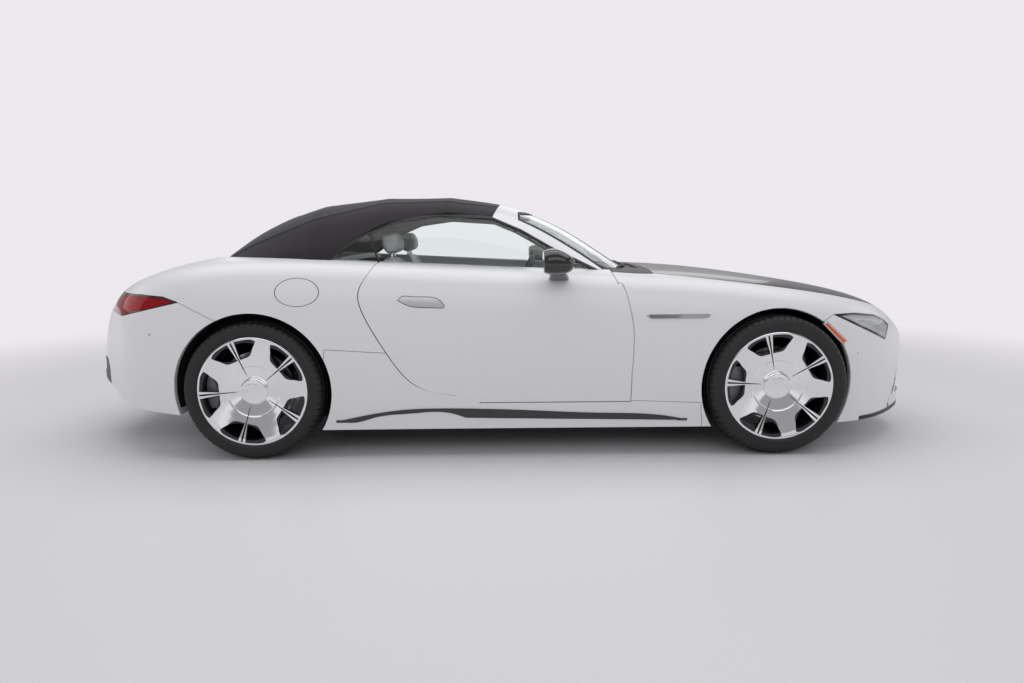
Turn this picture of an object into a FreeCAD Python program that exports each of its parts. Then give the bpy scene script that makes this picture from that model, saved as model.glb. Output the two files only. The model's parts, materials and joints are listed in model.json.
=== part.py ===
import FreeCAD, Part
import math
import os
import re
from types import SimpleNamespace

from FreeCAD import Rotation, Vector

# Two-seat roadster with its fabric roof closed, in millimetres
# X points forward, Y to the car's left and Z up; the origin is on the ground at mid-length
# Right-hand pieces have negative Y; left-hand ones are their mirror images

SIZES = {
    # Whole car
    "body_length": 4705,
    "body_width": 1915,
    "buffer_radius": 12,
    "buffer_low": 470,
    "buffer_length": 480,
    "hinge_pin_radius": 8,
    "hinge_pin_play": 0.05,
    "hinge_pin_length": 60,
    "tip_radius": 36,
    "tip_out": 330,
    "tip_height": 405,
    "tip_end": 2300,
    "tip_length": 200,
    "roof_height": 1357,
    "wheelbase": 2700,
    "front_overhang": 937,
    "floor_height": 150,
    "overrun": 400,
    # Panels
    "panel_wall": 30,
    "moving_gap": 6,
    "seam_gap": 3,
    "seat_gap": 0.3,
    # Wheels and tyres
    "front_tyre_radius": 363,
    "front_tyre_width": 275,
    "rear_tyre_radius": 358,
    "rear_tyre_width": 305,
    "front_track": 1630,
    "rear_track": 1618,
    "rim_radius": 267,
    "rim_lip_radius": 283,
    "rim_wall": 9,
    "cap_height": 16,
    "rim_face_thickness": 22,
    "rim_dish": 30,
    "rim_cap_radius": 70,
    "hub_bore_radius": 28.5,
    "hub_length": 60,
    "tyre_shoulder": 45,
    "front_disc_radius": 195,
    "disc_thickness": 30,
    "arch_radius": 402,
    "front_arch_depth": 490,
    "rear_arch_depth": 625,
    # Places where the car is towed and lifted
    "tow_hole_radius": 9,
    "tow_hole_length": 60,
    "tow_hole_out": 120,
    "tow_hole_height": 480,
    "jack_pad_side": 60,
    "jack_pad_depth": 10,
    "jack_pad_out": 750,
    "jack_pad_front": 500,
    "jack_pad_rear": 740,
    # Doors
    "door_hinge_from_front_axle": 820,
    "door_hinge_out": 895,
    "fender_start": 220,
    "door_inner_top": 700,
    "door_inner_low": 795,
    "door_glass_thickness": 5,
    "door_glass_inset": 4,
    # Cabin
    "cabin_front": 650,
    "cabin_rear": 870,
    "cabin_floor": 200,
    "cabin_knee": 600,
    "tunnel_half_width": 115,
    "tunnel_height": 350,
    "tunnel_groove_half_width": 75,
    "tunnel_groove_height": 300,
    "console_back": 261,
    "console_front": 455,
    "console_rise_back": 325,
    "console_half_width": 92,
    "console_height": 152,
    # Engine bay and boot
    "bay_rear": 790,
    "bay_front": 2050,
    "bay_half_width": 440,
    "bay_floor": 230,
    "boot_front": 1560,
    "boot_rear": 2200,
    "boot_half_width": 500,
    "boot_floor": 480,
    "stowage_half_width": 620,
    "stowage_floor": 760,
    "stowage_front": 866,
    "stowage_rear": 1564,
    # Greenhouse
    "greenhouse_floor": 700,
    "header_x": 95,
    "rear_window_front": 1000,
    "fabric_thickness": 25,
    "frame_thickness": 45,
    "glass_inset": 3,
    "glass_thickness": 6,
    # Suspension
    "arm_lower_height": 170,
    "arm_thickness": 38,
    "arm_upper_height": 500,
    "arm_half_width": 32,
    "arm_end_out": 800,
    "kingpin_out": 780,
    "knuckle_half_width": 32,
    "knuckle_half_depth": 22,
    "damper_radius": 32,
    "damper_out": 545,
    "caliper_length": 150,
    "caliper_height": 190,
    "caliper_thickness": 84,
    "half_shaft_radius": 20,
    # Seats and cockpit
    "seat_centre_out": 370,
    "seat_width": 500,
    "seat_post_behind": 628,
    "seat_post_low": 980,
    "seat_post_length": 120,
    "seat_post_radius": 7,
    "seat_post_out": 62.5,
    "steering_wheel_radius": 185,
    "steering_rim_radius": 15,
    "steering_wheel_x": 130,
    "steering_wheel_height": 850,
    "steering_tilt": 25,
    "steering_hub_radius": 70,
    "steering_hub_depth": 45,
    "column_radius": 35,
    "column_length": 330,
    # Masses and pipes
    "engine_length": 650,
    "engine_half_width": 260,
    "engine_height": 480,
    "pipe_radius": 32,
    "pipe_height": 222,
    "muffler_half_width": 420,
    "muffler_length": 200,
    "muffler_front": 1960,
    "muffler_height": 155,
    "diff_length": 200,
    "diff_top": 470,
    # Mirrors
    "mirror_length": 130,
    "mirror_width": 200,
    "mirror_height": 135,
    "mirror_x": 250,
    "mirror_out": 1000,
    "mirror_centre_height": 1005,
    "mirror_foot_radius": 20,
    "mirror_foot_lean": 25,
    "trim_proud": 4,
    "lid_rim_points": 40,
    "grille_bars": 5,
    "grille_back": 2150,
    "grille_plate": 12,
    "grille_setback": 12,
    "spoke_count": 5,
    "front_spoke_turn": 31.7,
    "rear_spoke_turn": 39.4,
    "slot_start": 85,
    "slot_inner_half_width": 1.6,
    "slot_outer_half_width": 5.3,
    "bar_inner_half_width": 6,
    "bar_outer_half_width": 18,
}

# Body stations from nose to tail: place of the middle and of the flank along the half length,
# heights of the middle and of the shoulder over the roof height, flank over the half width
BODY_STATION_SHARES = (
    (1.000, 1.000, 0.367, 0.339, 0.226),
    (1.000, 1.000, 0.430, 0.400, 0.380),
    (0.985, 0.949, 0.445, 0.435, 0.565),
    (0.900, 0.850, 0.572, 0.535, 0.843),
    (0.745, 0.725, 0.635, 0.595, 0.965),
    (0.489, 0.489, 0.698, 0.656, 0.997),
    (0.298, 0.298, 0.711, 0.682, 0.992),
    (0.085, 0.085, 0.722, 0.696, 0.990),
    (-0.128, -0.128, 0.737, 0.715, 0.990),
    (-0.340, -0.340, 0.759, 0.733, 0.995),
    (-0.510, -0.510, 0.774, 0.744, 1.000),
    (-0.680, -0.680, 0.770, 0.730, 0.999),
    (-0.800, -0.785, 0.712, 0.675, 0.960),
    (-0.892, -0.850, 0.665, 0.600, 0.860),
    (-0.955, -0.885, 0.580, 0.520, 0.700),
    (-0.992, -0.955, 0.490, 0.430, 0.510),
    (-1.000, -1.000, 0.367, 0.339, 0.320),
)
# Body section from the middle of the top to the floor edge: share of the flank,
# rise from floor to shoulder, and crown from shoulder to top
BODY_SECTION_SHARES = (
    (0.000, 1.00, 1.00),
    (0.380, 1.00, 1.00),
    (0.700, 1.00, 0.75),
    (0.900, 1.00, 0.30),
    (0.985, 0.90, 0.00),
    (1.000, 0.66, 0.00),
    (1.000, 0.42, 0.00),
    (0.985, 0.20, 0.00),
    (0.970, 0.00, 0.00),
)
# Greenhouse stations: place, roof height, then width and height of seam, side and belt
GREENHOUSE_STATION_SHARES = (
    (0.366, 0.630, 0.522, 0.619, 0.689, 0.590, 0.773, 0.553),
    (0.299, 0.704, 0.543, 0.689, 0.731, 0.641, 0.794, 0.590),
    (0.221, 0.796, 0.564, 0.774, 0.731, 0.715, 0.815, 0.663),
    (0.140, 0.884, 0.564, 0.859, 0.710, 0.774, 0.836, 0.685),
    (0.043, 0.954, 0.564, 0.925, 0.689, 0.840, 0.851, 0.693),
    (-0.051, 0.991, 0.564, 0.965, 0.679, 0.884, 0.856, 0.693),
    (-0.170, 1.004, 0.564, 0.984, 0.668, 0.906, 0.856, 0.700),
    (-0.298, 0.999, 0.574, 0.965, 0.684, 0.884, 0.856, 0.707),
    (-0.425, 0.976, 0.585, 0.936, 0.710, 0.840, 0.846, 0.715),
    (-0.531, 0.921, 0.585, 0.877, 0.710, 0.789, 0.825, 0.715),
    (-0.616, 0.833, 0.564, 0.796, 0.679, 0.737, 0.773, 0.685),
    (-0.701, 0.730, 0.522, 0.700, 0.627, 0.663, 0.710, 0.626),
    (-0.765, 0.648, 0.470, 0.626, 0.574, 0.590, 0.627, 0.553),
)
ROOF_FLAT_SHARE = 0.5
GREENHOUSE_SKIRT_SHARE = 1.02
GREENHOUSE_BOTTOM_SHARE = 0.50

# Outlines seen from the side, as shares of the half length and the roof height
DOOR_FRONT_SHARES = ((0.241, 0.690), (0.255, 0.634), (0.266, 0.590))
ROOF_EDGE_SHARES = (
    (-0.005, 0.980), (-0.024, 0.918), (-0.149, 0.927), (-0.238, 0.904),
    (-0.295, 0.867), (-0.350, 0.814), (-0.412, 0.739),
)
PILLAR_EDGE_SHARES = ((-0.024, 0.913), (0.042, 0.864), (0.112, 0.794), (0.187, 0.730), (0.255, 0.672))
QUARTER_WINDOW_SHARES = ((-0.275, 0.718), (-0.303, 0.850), (-0.350, 0.795), (-0.398, 0.737))
TAIL_LAMP_SHARES = (
    (-0.698, 0.602), (-0.731, 0.621), (-0.782, 0.627), (-0.868, 0.628), (-1.050, 0.615), (-1.050, 0.520),
    (-0.917, 0.552), (-0.845, 0.545),
)
HEADLAMP_SHARES = (
    (0.727, 0.534), (0.780, 0.535), (0.839, 0.522), (0.875, 0.498), (0.895, 0.474), (0.877, 0.421), (0.789, 0.486),
)
# Outlines seen from above, as shares of the half length and the half width
BONNET_SHARES = (
    (0.336, 0.799), (0.440, 0.832), (0.600, 0.830), (0.724, 0.790), (0.810, 0.725),
    (0.868, 0.620), (0.908, 0.450), (0.930, 0.225), (0.936, 0.000),
)
BOOT_LID_SHARES = (
    (-0.689, 0.650), (-0.765, 0.670), (-0.840, 0.640), (-0.900, 0.540), (-0.938, 0.380), (-0.952, 0.200),
    (-0.956, 0.000),
)
# Door shut faces about the hinge: radius as a share of the reach, height over the roof height
DOOR_REACH_SHARES = (
    (0.542, 0.237), (0.682, 0.249), (0.778, 0.275), (0.899, 0.408), (0.978, 0.543), (1.000, 0.634), (0.952, 0.724),
    (0.938, 0.800),
)
DOOR_NOSE_SHARES = (
    (0.87, 0.214), (1.00, 0.330), (0.95, 0.534), (0.68, 0.590), (0.44, 0.625), (0.22, 0.646), (0.06, 0.662),
)
DOOR_REACH_LENGTH_SHARE = 0.5637
DOOR_NOSE_RADIUS_SHARE = 0.0794
DOOR_TOP_SHARE = 0.760
DOOR_BOTTOM_SHARE = 0.214
# Seams between fixed panels, seen from the side
FRONT_SEAM_SHARES = (
    (0.745, 0.000), (0.745, 0.300), (0.690, 0.400), (0.690, 0.500), (0.727, 0.534), (0.850, 0.480), (0.872, 0.470),
    (0.868, 0.640), (1.050, 0.640), (1.050, 0.000),
)
REAR_SEAM_SHARES = (
    (-0.676, 0.000), (-0.676, 0.250), (-0.600, 0.350), (-0.600, 0.515), (-0.698, 0.602), (-0.800, 0.588),
    (-0.880, 0.590), (-0.905, 0.640), (-1.050, 0.640), (-1.050, 0.000),
)
SILL_SEAM_SHARES = (
    (-0.420, 0.000), (-0.386, 0.421), (-0.254, 0.406), (-0.150, 0.255), (0.000, 0.235), (0.431, 0.205), (0.440, 0.000),
)
TONNEAU_SHARES = (
    (-0.385, 0.790), (-0.500, 0.775), (-0.600, 0.720), (-0.680, 0.600), (-0.722, 0.350), (-0.735, 0.000),
)
COWL_SHARES = ((0.240, 0.800), (0.336, 0.799), (0.350, 0.400), (0.352, 0.000))
# Seen from the front, as shares of the half width and the roof height
MOUTH_SHARES = ((-0.560, 0.175), (-0.500, 0.330), (0.500, 0.330), (0.560, 0.175))
# Underside of the tail, seen from the side
BUFFER_PLACE_SHARES = ((0.400, 0.620), (0.800, 0.520), (-0.730, 0.580), (-0.860, 0.560))
TAIL_LIFT_SHARES = ((-0.672, 0.105), (-0.684, 0.168), (-0.890, 0.206), (-0.935, 0.236), (-1.050, 0.250))
BONNET_LOW_SHARE = 0.48
LID_LOW_SHARE = 0.567
DECK_LOW_SHARE = 0.60
LAMP_INNER_SHARE = 0.55
TAIL_INNER_SHARE = 0.40
SCREEN_SHARES = ((-0.715, 0.690), (-0.550, 0.928), (0.550, 0.928), (0.715, 0.690))
REAR_WINDOW_SHARES = ((-0.400, 0.800), (-0.340, 0.915), (0.340, 0.915), (0.400, 0.800))
DOOR_GLASS_SHARES = (
    (-0.268, 0.700), (-0.297, 0.855), (-0.240, 0.896), (-0.149, 0.919), (-0.024, 0.906), (0.042, 0.857),
    (0.112, 0.787), (0.187, 0.722), (0.215, 0.690),
)
MARKER_SHARES = ((0.699, 0.501), (0.708, 0.508), (0.757, 0.433), (0.748, 0.420))
VENT_SHARES = ((0.306, 0.545), (0.449, 0.545), (0.449, 0.528), (0.306, 0.528))
SILL_TRIM_SHARES = ((-0.380, 0.150), (0.420, 0.130), (0.420, 0.165), (-0.380, 0.190))
DIFFUSER_SHARES = ((-0.890, 0.000), (-0.930, 0.260), (-0.960, 0.340), (-1.050, 0.345), (-1.050, 0.000))
# Dashboard seen from the side, as shares of the cabin's front and the roof height
DASH_SHARES = ((1.00, 0.500), (0.99, 0.672), (0.80, 0.682), (0.50, 0.678), (0.42, 0.640), (0.50, 0.540), (0.75, 0.500))
# Seat seen from the side, as shares of the half length and the roof height
CUSHION_SHARES = (
    (0.020, 0.1476), (0.030, 0.300), (0.012, 0.325), (-0.090, 0.318), (-0.185, 0.285), (-0.215, 0.1476),
)
BACKREST_SHARES = ((-0.172, 0.270), (-0.182, 0.400), (-0.250, 0.740), (-0.268, 0.760), (-0.292, 0.745), (-0.240, 0.200))
HEADREST_SHARES = ((-0.240, 0.780), (-0.246, 0.840), (-0.262, 0.852), (-0.286, 0.846), (-0.293, 0.785))
HEADREST_WIDTH_SHARE = 0.50
# Shares of a wheel: bead and shoulder of the tyre, and the pockets of the rim
BEAD_SHARE = 0.90
BEAD_RISE_SHARE = 0.60
SHOULDER_DROP_SHARE = 0.25
SHOULDER_IN_SHARE = 0.35
CAP_TOP_SHARE = 0.85
SPINDLE_SHARE = 0.30
POCKET_IN_SHARE = 0.70
POCKET_OUT_SHARE = 0.985
# Half of a pocket beyond its bar: share of a turn from the spoke's middle, and reach over the barrel's inside
POCKET_RIM_SHARES = ((0.046, 0.985), (0.075, 0.955))
POCKET_SIDE_SHARES = ((0.070, 0.880), (0.056, 0.790), (0.030, 0.715))
FULL_TURN = 2 * math.pi
DAMPER_TOP_SHARE = 0.96
CALIPER_BACK_SHARE = 0.40
CALIPER_FRONT_SHARE = 0.55
MIRROR_FOOT_SHARE = 0.84
DIFFUSER_WIDTH_SHARE = 0.52
GRILLE_START_SHARE = 0.30
GRILLE_BAR_SHARE = 0.35

doc = FreeCAD.newDocument("roadster")
sheet = doc.addObject("Spreadsheet::Sheet", "sizes")
for row_number, (alias, amount) in enumerate(SIZES.items(), start=1):
    sheet.set("A%d" % row_number, str(amount))
    sheet.setAlias("A%d" % row_number, alias)
doc.recompute()
s = SimpleNamespace(**{alias: float(sheet.get(alias)) for alias in SIZES})

half_length = s.body_length / 2
half_width = s.body_width / 2
front_axle = half_length - s.front_overhang
rear_axle = front_axle - s.wheelbase
FRONT_AXLE = "(body_length / 2 - front_overhang)"
REAR_AXLE = "(body_length / 2 - front_overhang - wheelbase)"


def linked(formula):
    """Point every size named in a formula at its cell of the sheet."""
    return re.sub(r"[a-z][a-z_]*", lambda m: "sizes." + m.group(0) if m.group(0) in SIZES else m.group(0), formula)


def bind(piece, field, formula):
    piece.setExpression(field, linked(formula))


def place(piece, x, y, z):
    bind(piece, "Placement.Base.x", x)
    bind(piece, "Placement.Base.y", y)
    bind(piece, "Placement.Base.z", z)


def box(name, x, y, z):
    """A block between two formulas along each axis."""
    piece = doc.addObject("Part::Box", name)
    for side, (low, high) in zip(("Length", "Width", "Height"), (x, y, z)):
        bind(piece, side, "(%s) - (%s)" % (high, low))
    place(piece, x[0], y[0], z[0])
    return piece


def cylinder(name, along, start, radius, length):
    """A cylinder that runs from its start along X, Y or Z."""
    turns = {"x": Rotation(Vector(0, 1, 0), 90), "y": Rotation(Vector(1, 0, 0), -90), "z": Rotation()}
    piece = doc.addObject("Part::Cylinder", name)
    bind(piece, "Radius", radius)
    bind(piece, "Height", length)
    piece.Placement = FreeCAD.Placement(Vector(), turns[along])
    place(piece, *start)
    return piece


def shaped(name, shape):
    """A sub-part or tool whose form is worked out from the sheet's values."""
    piece = doc.addObject("Part::Feature", name)
    piece.Shape = shape
    return piece


def cut(name, base, *tools):
    for number, tool in enumerate(tools):
        step = doc.addObject("Part::Cut", "%s_%d" % (name, number) if number < len(tools) - 1 else name)
        step.Base = base
        step.Tool = tool
        base = step
    return base


def fuse(name, *pieces):
    piece = doc.addObject("Part::MultiFuse", name)
    piece.Shapes = list(pieces)
    return piece


def common(name, *pieces):
    piece = doc.addObject("Part::MultiCommon", name)
    piece.Shapes = list(pieces)
    return piece


def mirror(name, source):
    piece = doc.addObject("Part::Mirroring", name)
    piece.Source = source
    piece.Normal = Vector(0, 1, 0)
    return piece


def outline_wire(runs, to_space):
    """Runs of two points are straight, longer ones are smooth; a straight line closes the outline.

    Without a way to space, the runs' points are already in space.
    """
    edges = []
    for run in runs:
        points = [to_space(*point) for point in run] if to_space else run
        if len(points) == 2:
            edges.append(Part.LineSegment(points[0], points[1]).toShape())
        else:
            curve = Part.BSplineCurve()
            curve.interpolate(points)
            edges.append(curve.toShape())
    first, last = [to_space(*point) if to_space else point for point in (runs[0][0], runs[-1][-1])]
    if first.distanceToPoint(last) > 0:
        edges.append(Part.LineSegment(last, first).toShape())
    return Part.Wire(edges)


def prism(name, view, runs, low, high, grow=0):
    """A straight prism over an outline seen from the side, from above or from the front."""
    to_space = {
        "side": lambda a, b: Vector(a, low, b),
        "top": lambda a, b: Vector(a, b, low),
        "front": lambda a, b: Vector(low, a, b),
    }[view]
    way = {"side": Vector(0, high - low, 0), "top": Vector(0, 0, high - low), "front": Vector(high - low, 0, 0)}
    face = Part.Face(outline_wire(runs, to_space))
    if grow:
        face = Part.Face(face.OuterWire.makeOffset2D(grow))
    block = face.extrude(way[view])
    if block.Volume < 0:
        block.reverse()
    return shaped(name, block)


def polygon(points):
    return [[a, b] for a, b in zip(points, points[1:] + points[:1])]


def side_points(shares):
    return [(x * half_length, z * s.roof_height) for x, z in shares]


def top_points(shares):
    return [(x * half_length, y * half_width) for x, y in shares]


def grown(points, gap):
    """The corners of a closed outline, each moved out by the gap from both of its edges."""
    area = sum(a[0] * b[1] - b[0] * a[1] for a, b in zip(points, points[1:] + points[:1]))
    turn = 1 if area > 0 else -1
    moved = []
    for before, here, after in zip(points[-1:] + points[:-1], points, points[1:] + points[:1]):
        normals = []
        for start, end in ((before, here), (here, after)):
            run = math.hypot(end[0] - start[0], end[1] - start[1])
            normals.append((turn * (end[1] - start[1]) / run, -turn * (end[0] - start[0]) / run))
        (ax, ay), (bx, by) = normals
        reach = gap / (1 + ax * bx + ay * by)
        moved.append((here[0] + (ax + bx) * reach, here[1] + (ay + by) * reach))
    return moved


def rounded_runs(points):
    """A smooth run through the points, closed by a straight line."""
    return [points, [points[-1], points[0]]]


def sampled(points, count):
    """Even steps along a smooth run through the points."""
    curve = Part.BSplineCurve()
    curve.interpolate([Vector(a, b, 0) for a, b in points])
    return [(step.x, step.y) for step in curve.discretize(Number=count)]


def both_sides(points):
    """Complete the outline of one side, which ends on the middle line, with its mirror image."""
    return points + [(x, -y) for x, y in reversed(points[:-1])]


def closed_form(name, rows):
    """A solid under a smooth skin through rows of poles, given from the middle to the right floor edge."""
    poles = [[Vector(x, -y, z) for x, y, z in reversed(row[1:])] + [Vector(*pole) for pole in row] for row in rows]
    knots = [list(range(count - 2)) for count in (len(poles), len(poles[0]))]
    repeats = [[4] + [1] * (len(values) - 2) + [4] for values in knots]
    surface = Part.BSplineSurface()
    surface.buildFromPolesMultsKnots(poles, repeats[0], repeats[1], knots[0], knots[1], False, False, 3, 3)
    faces = [surface.toShape()]
    ends = [poles[0], poles[-1]]
    for at, end in zip((knots[0][0], knots[0][-1]), ends):
        line = Part.LineSegment(end[-1], end[0]).toShape()
        faces.append(Part.Face(Part.Wire([surface.uIso(at).toShape(), line])))
    left = surface.vIso(knots[1][0]).toShape()
    right = surface.vIso(knots[1][-1]).toShape()
    nose = Part.LineSegment(ends[0][0], ends[0][-1]).toShape()
    tail = Part.LineSegment(ends[1][0], ends[1][-1]).toShape()
    faces.append(Part.Face(Part.Wire([left, tail, right, nose])))
    shell = Part.makeShell(faces)
    shell.sewShape()
    solid = Part.makeSolid(shell)
    if solid.Volume < 0:
        solid.reverse()
    return shaped(name, solid)


def body_form(name, inset):
    """The whole body's outer form, drawn in everywhere by the inset."""
    rows = []
    floor = s.floor_height + inset
    for middle, flank_place, top_share, shoulder_share, flank_share in BODY_STATION_SHARES:
        flank = flank_share * half_width - inset
        top = top_share * s.roof_height - inset
        shoulder = shoulder_share * s.roof_height - inset
        row = []
        for across, rise, crown in BODY_SECTION_SHARES:
            x = (flank_place + (middle - flank_place) * crown) * (half_length - inset)
            row.append((x, -flank * across, floor + (shoulder - floor) * rise + (top - shoulder) * crown))
        rows.append(row)
    form = closed_form(name + "_whole" if inset >= 0 else name, rows)
    if inset < 0:
        return form
    lift = [(x * half_length, z * s.roof_height + inset) for x, z in TAIL_LIFT_SHARES]
    lift += [(lift[-1][0], 0), (lift[0][0], 0)]
    under_tail = prism(name + "_lift", "side", polygon(lift), -s.body_width, s.body_width)
    return cut(name, form, under_tail)


def greenhouse_form(name, inset):
    """The form that windscreen, pillars, side glass and soft top share."""
    rows = []
    for place_share, roof, seam_y, seam_z, side_y, side_z, belt_y, belt_z in GREENHOUSE_STATION_SHARES:
        x = place_share * half_length
        row = [(x, 0, roof * s.roof_height - inset)]
        row.append((x, -seam_y * half_width * ROOF_FLAT_SHARE, roof * s.roof_height - inset))
        for y, z in ((seam_y, seam_z), (side_y, side_z), (belt_y, belt_z)):
            row.append((x, -(y * half_width - inset), z * s.roof_height - inset))
        row.append((x, row[-1][1] * GREENHOUSE_SKIRT_SHARE, s.greenhouse_floor * GREENHOUSE_BOTTOM_SHARE))
        rows.append(row)
    return closed_form(name, rows)


# Body forms and the shell that the panels are parted from
outer = body_form("outer_form", 0)
inner = body_form("inner_form", s.panel_wall)
roof_outer = greenhouse_form("roof_outer_form", 0)
roof_lining = greenhouse_form("roof_lining_form", s.fabric_thickness)
frame_lining = greenhouse_form("frame_lining_form", s.frame_thickness)
glass_face = greenhouse_form("glass_face_form", s.glass_inset)
glass_back = greenhouse_form("glass_back_form", s.glass_inset + s.glass_thickness)
wide = half_width + s.overrun
tall = s.roof_height + s.overrun
far = half_length + s.overrun


# Wheel arches, one cylinder at each wheel
def arch(name, axle, height, depth):
    return cylinder(name, "y", (axle, "-(body_width / 2 + overrun)", height), "arch_radius",
                    "body_width / 2 + overrun - " + depth)


arch_front_right = arch("arch_front_right", FRONT_AXLE, "front_tyre_radius", "front_arch_depth")
arch_rear_right = arch("arch_rear_right", REAR_AXLE, "rear_tyre_radius", "rear_arch_depth")
arch_front_left = mirror("arch_front_left", arch_front_right)
arch_rear_left = mirror("arch_rear_left", arch_rear_right)
arches = fuse("arches", arch_front_right, arch_rear_right, arch_front_left, arch_rear_left)

# Cabin hollow, with a hump over the tunnel
cabin_outline = [(-s.door_inner_low, s.cabin_floor), (-s.door_inner_low, s.cabin_knee),
                 (-s.door_inner_top, s.roof_height * DOOR_TOP_SHARE), (-s.door_inner_top, tall)]
cabin_outline += [(-y, z) for y, z in reversed(cabin_outline)]
cabin_runs = [[a, b] for a, b in zip(cabin_outline, cabin_outline[1:])]
cabin_block = prism("cabin_block", "front", cabin_runs, -s.cabin_rear, s.cabin_front)
hump = box("hump", ("-cabin_rear - overrun", "cabin_front + overrun"),
           ("-tunnel_half_width", "tunnel_half_width"), ("0", "tunnel_height"))
cabin = cut("cabin", cabin_block, hump)

# Door spaces: shut faces are turned about the hinge, so the gap is the same all through the swing
hinge_x = front_axle - s.door_hinge_from_front_axle
reach = half_length * DOOR_REACH_LENGTH_SHARE
nose_radius = half_width * DOOR_NOSE_RADIUS_SHARE


def turned(name, points, x, y):
    """A solid turned about an upright line through x, y."""
    runs = [[(0, points[0][1]), points[0]], points, [points[-1], (0, points[-1][1])]]
    wire = outline_wire(runs, lambda r, z: Vector(x + r, y, z))
    return shaped(name, Part.Face(wire).revolve(Vector(x, y, 0), Vector(0, 0, 1), 360))


def door_space(name, gap):
    """Where the right-hand door lies, and the gap round it."""
    floor = s.roof_height * DOOR_BOTTOM_SHARE - gap
    tail = [(r * reach + gap, z * s.roof_height) for r, z in DOOR_REACH_SHARES]
    tail[0] = (tail[0][0], floor)
    swing = turned(name + "_tail", tail, hinge_x, -s.door_hinge_out)
    nose = [(r * nose_radius + gap, z * s.roof_height) for r, z in DOOR_NOSE_SHARES]
    nose[0] = (nose[0][0], floor)
    knuckle_space = turned(name + "_nose", nose, hinge_x, -s.door_hinge_out)
    front = [(x + gap, z) for x, z in side_points(DOOR_FRONT_SHARES)]
    edge = [(front[0][0], tall)] + [(min(x, hinge_x + gap), z) for x, z in front] + [(hinge_x + gap, floor)]
    runs = [[a, b] for a, b in zip(edge, edge[1:])] + [[(hinge_x + gap, floor), (-far, floor)],
                                                      [(-far, floor), (-far, tall)]]
    behind = prism(name + "_behind", "side", runs, -wide, -s.door_inner_top + gap)
    return fuse(name, common(name + "_main", swing, behind), knuckle_space)


door_fill = door_space("door_fill", 0)
door_cut_right = door_space("door_cut_right", s.moving_gap)
door_cut_left = mirror("door_cut_left", door_cut_right)
door_cuts = fuse("door_cuts", door_cut_right, door_cut_left)

# Doors
inner_wall = cut("inner_wall", outer, cabin_block)
door_stock = common("door_stock", door_fill, inner_wall)
pin_place = (FRONT_AXLE + " - door_hinge_from_front_axle", "-door_hinge_out",
             "roof_height * %s - hinge_pin_length / 2" % DOOR_BOTTOM_SHARE)
hinge_pin = cylinder("hinge_pin", "z", pin_place, "hinge_pin_radius", "hinge_pin_length")
hinge_bore = cylinder("hinge_bore", "z", pin_place, "hinge_pin_radius + hinge_pin_play", "hinge_pin_length + moving_gap")
door_solid = cut("door_right", door_stock, hinge_bore)

# Regions of the body's skin, each a prism over its outline
def pair(name, right):
    """Both sides of a right-hand tool or sub-part in one node."""
    return fuse(name, right, mirror(name + "_other", right))


bonnet_points = both_sides(top_points(BONNET_SHARES))
bonnet_low = s.roof_height * BONNET_LOW_SHARE
bonnet_space = prism("bonnet_space", "top", rounded_runs(bonnet_points), bonnet_low, tall)
bonnet_round = rounded_runs(grown(bonnet_points, s.moving_gap))
bonnet_cut = prism("bonnet_cut", "top", bonnet_round, bonnet_low - s.moving_gap, tall)
lid_points = both_sides(top_points(BOOT_LID_SHARES))
lid_low = s.roof_height * LID_LOW_SHARE
lid_space = prism("lid_space", "top", rounded_runs(lid_points), lid_low, tall)
lid_cut = prism("lid_cut", "top", rounded_runs(grown(lid_points, s.moving_gap)), lid_low - s.moving_gap, tall)
lid_rim = grown(sampled(lid_points, int(s.lid_rim_points)), s.moving_gap)
lid_rim_cut = prism("lid_rim_cut", "top", polygon(lid_rim), lid_low - s.moving_gap, tall)


def side_region(name, points, inner_y, grow=0):
    """A right-hand region seen from the side, from beyond the flank in to the inner place."""
    return prism(name, "side", polygon(points), -wide, -inner_y, grow)


lamp_inner = half_width * LAMP_INNER_SHARE
tail_inner = half_width * TAIL_INNER_SHARE
headlamp_space = side_region("headlamp_space", side_points(HEADLAMP_SHARES), lamp_inner)
headlamp_cut = side_region("headlamp_cut", side_points(HEADLAMP_SHARES), lamp_inner - s.seam_gap, s.seam_gap)
side_markers = side_region("marker_space", side_points(MARKER_SHARES), lamp_inner)
marker_cut = side_region("marker_cut", side_points(MARKER_SHARES), lamp_inner - s.seam_gap, s.seam_gap)
tail_space = side_region("tail_space", side_points(TAIL_LAMP_SHARES), tail_inner)
tail_cut = side_region("tail_cut", side_points(TAIL_LAMP_SHARES), tail_inner - s.seam_gap, s.seam_gap)

front_seam = side_points(FRONT_SEAM_SHARES)
rear_seam = side_points(REAR_SEAM_SHARES)
sill_seam = side_points(SILL_SEAM_SHARES)


def whole_region(name, points, grow=0):
    """A region seen from the side that runs right across the car."""
    return prism(name, "side", polygon(points), -wide, wide, grow)


front_space = whole_region("front_space", front_seam)
front_cut = whole_region("front_cut", front_seam, s.seam_gap)
rear_space = whole_region("rear_space", rear_seam)
rear_cut = whole_region("rear_cut", rear_seam, s.seam_gap)
sill_space = whole_region("sill_space", sill_seam)
sill_cut = whole_region("sill_cut", sill_seam, s.seam_gap)

# Tonneau panel round the back of the roof, and the cowl under the windscreen
tonneau_points = both_sides(top_points(TONNEAU_SHARES))
deck_low = s.roof_height * DECK_LOW_SHARE
tonneau_space = prism("tonneau_space", "top", rounded_runs(tonneau_points), deck_low, tall)
tonneau_cut = prism("tonneau_cut", "top", rounded_runs(grown(tonneau_points, s.seam_gap)), deck_low - s.seam_gap, tall)
cowl_points = both_sides(top_points(COWL_SHARES))
cowl_space = prism("cowl_space", "top", rounded_runs(cowl_points), deck_low, tall)
cowl_cut = prism("cowl_cut", "top", rounded_runs(grown(cowl_points, s.seam_gap)), deck_low - s.seam_gap, tall)

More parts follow.
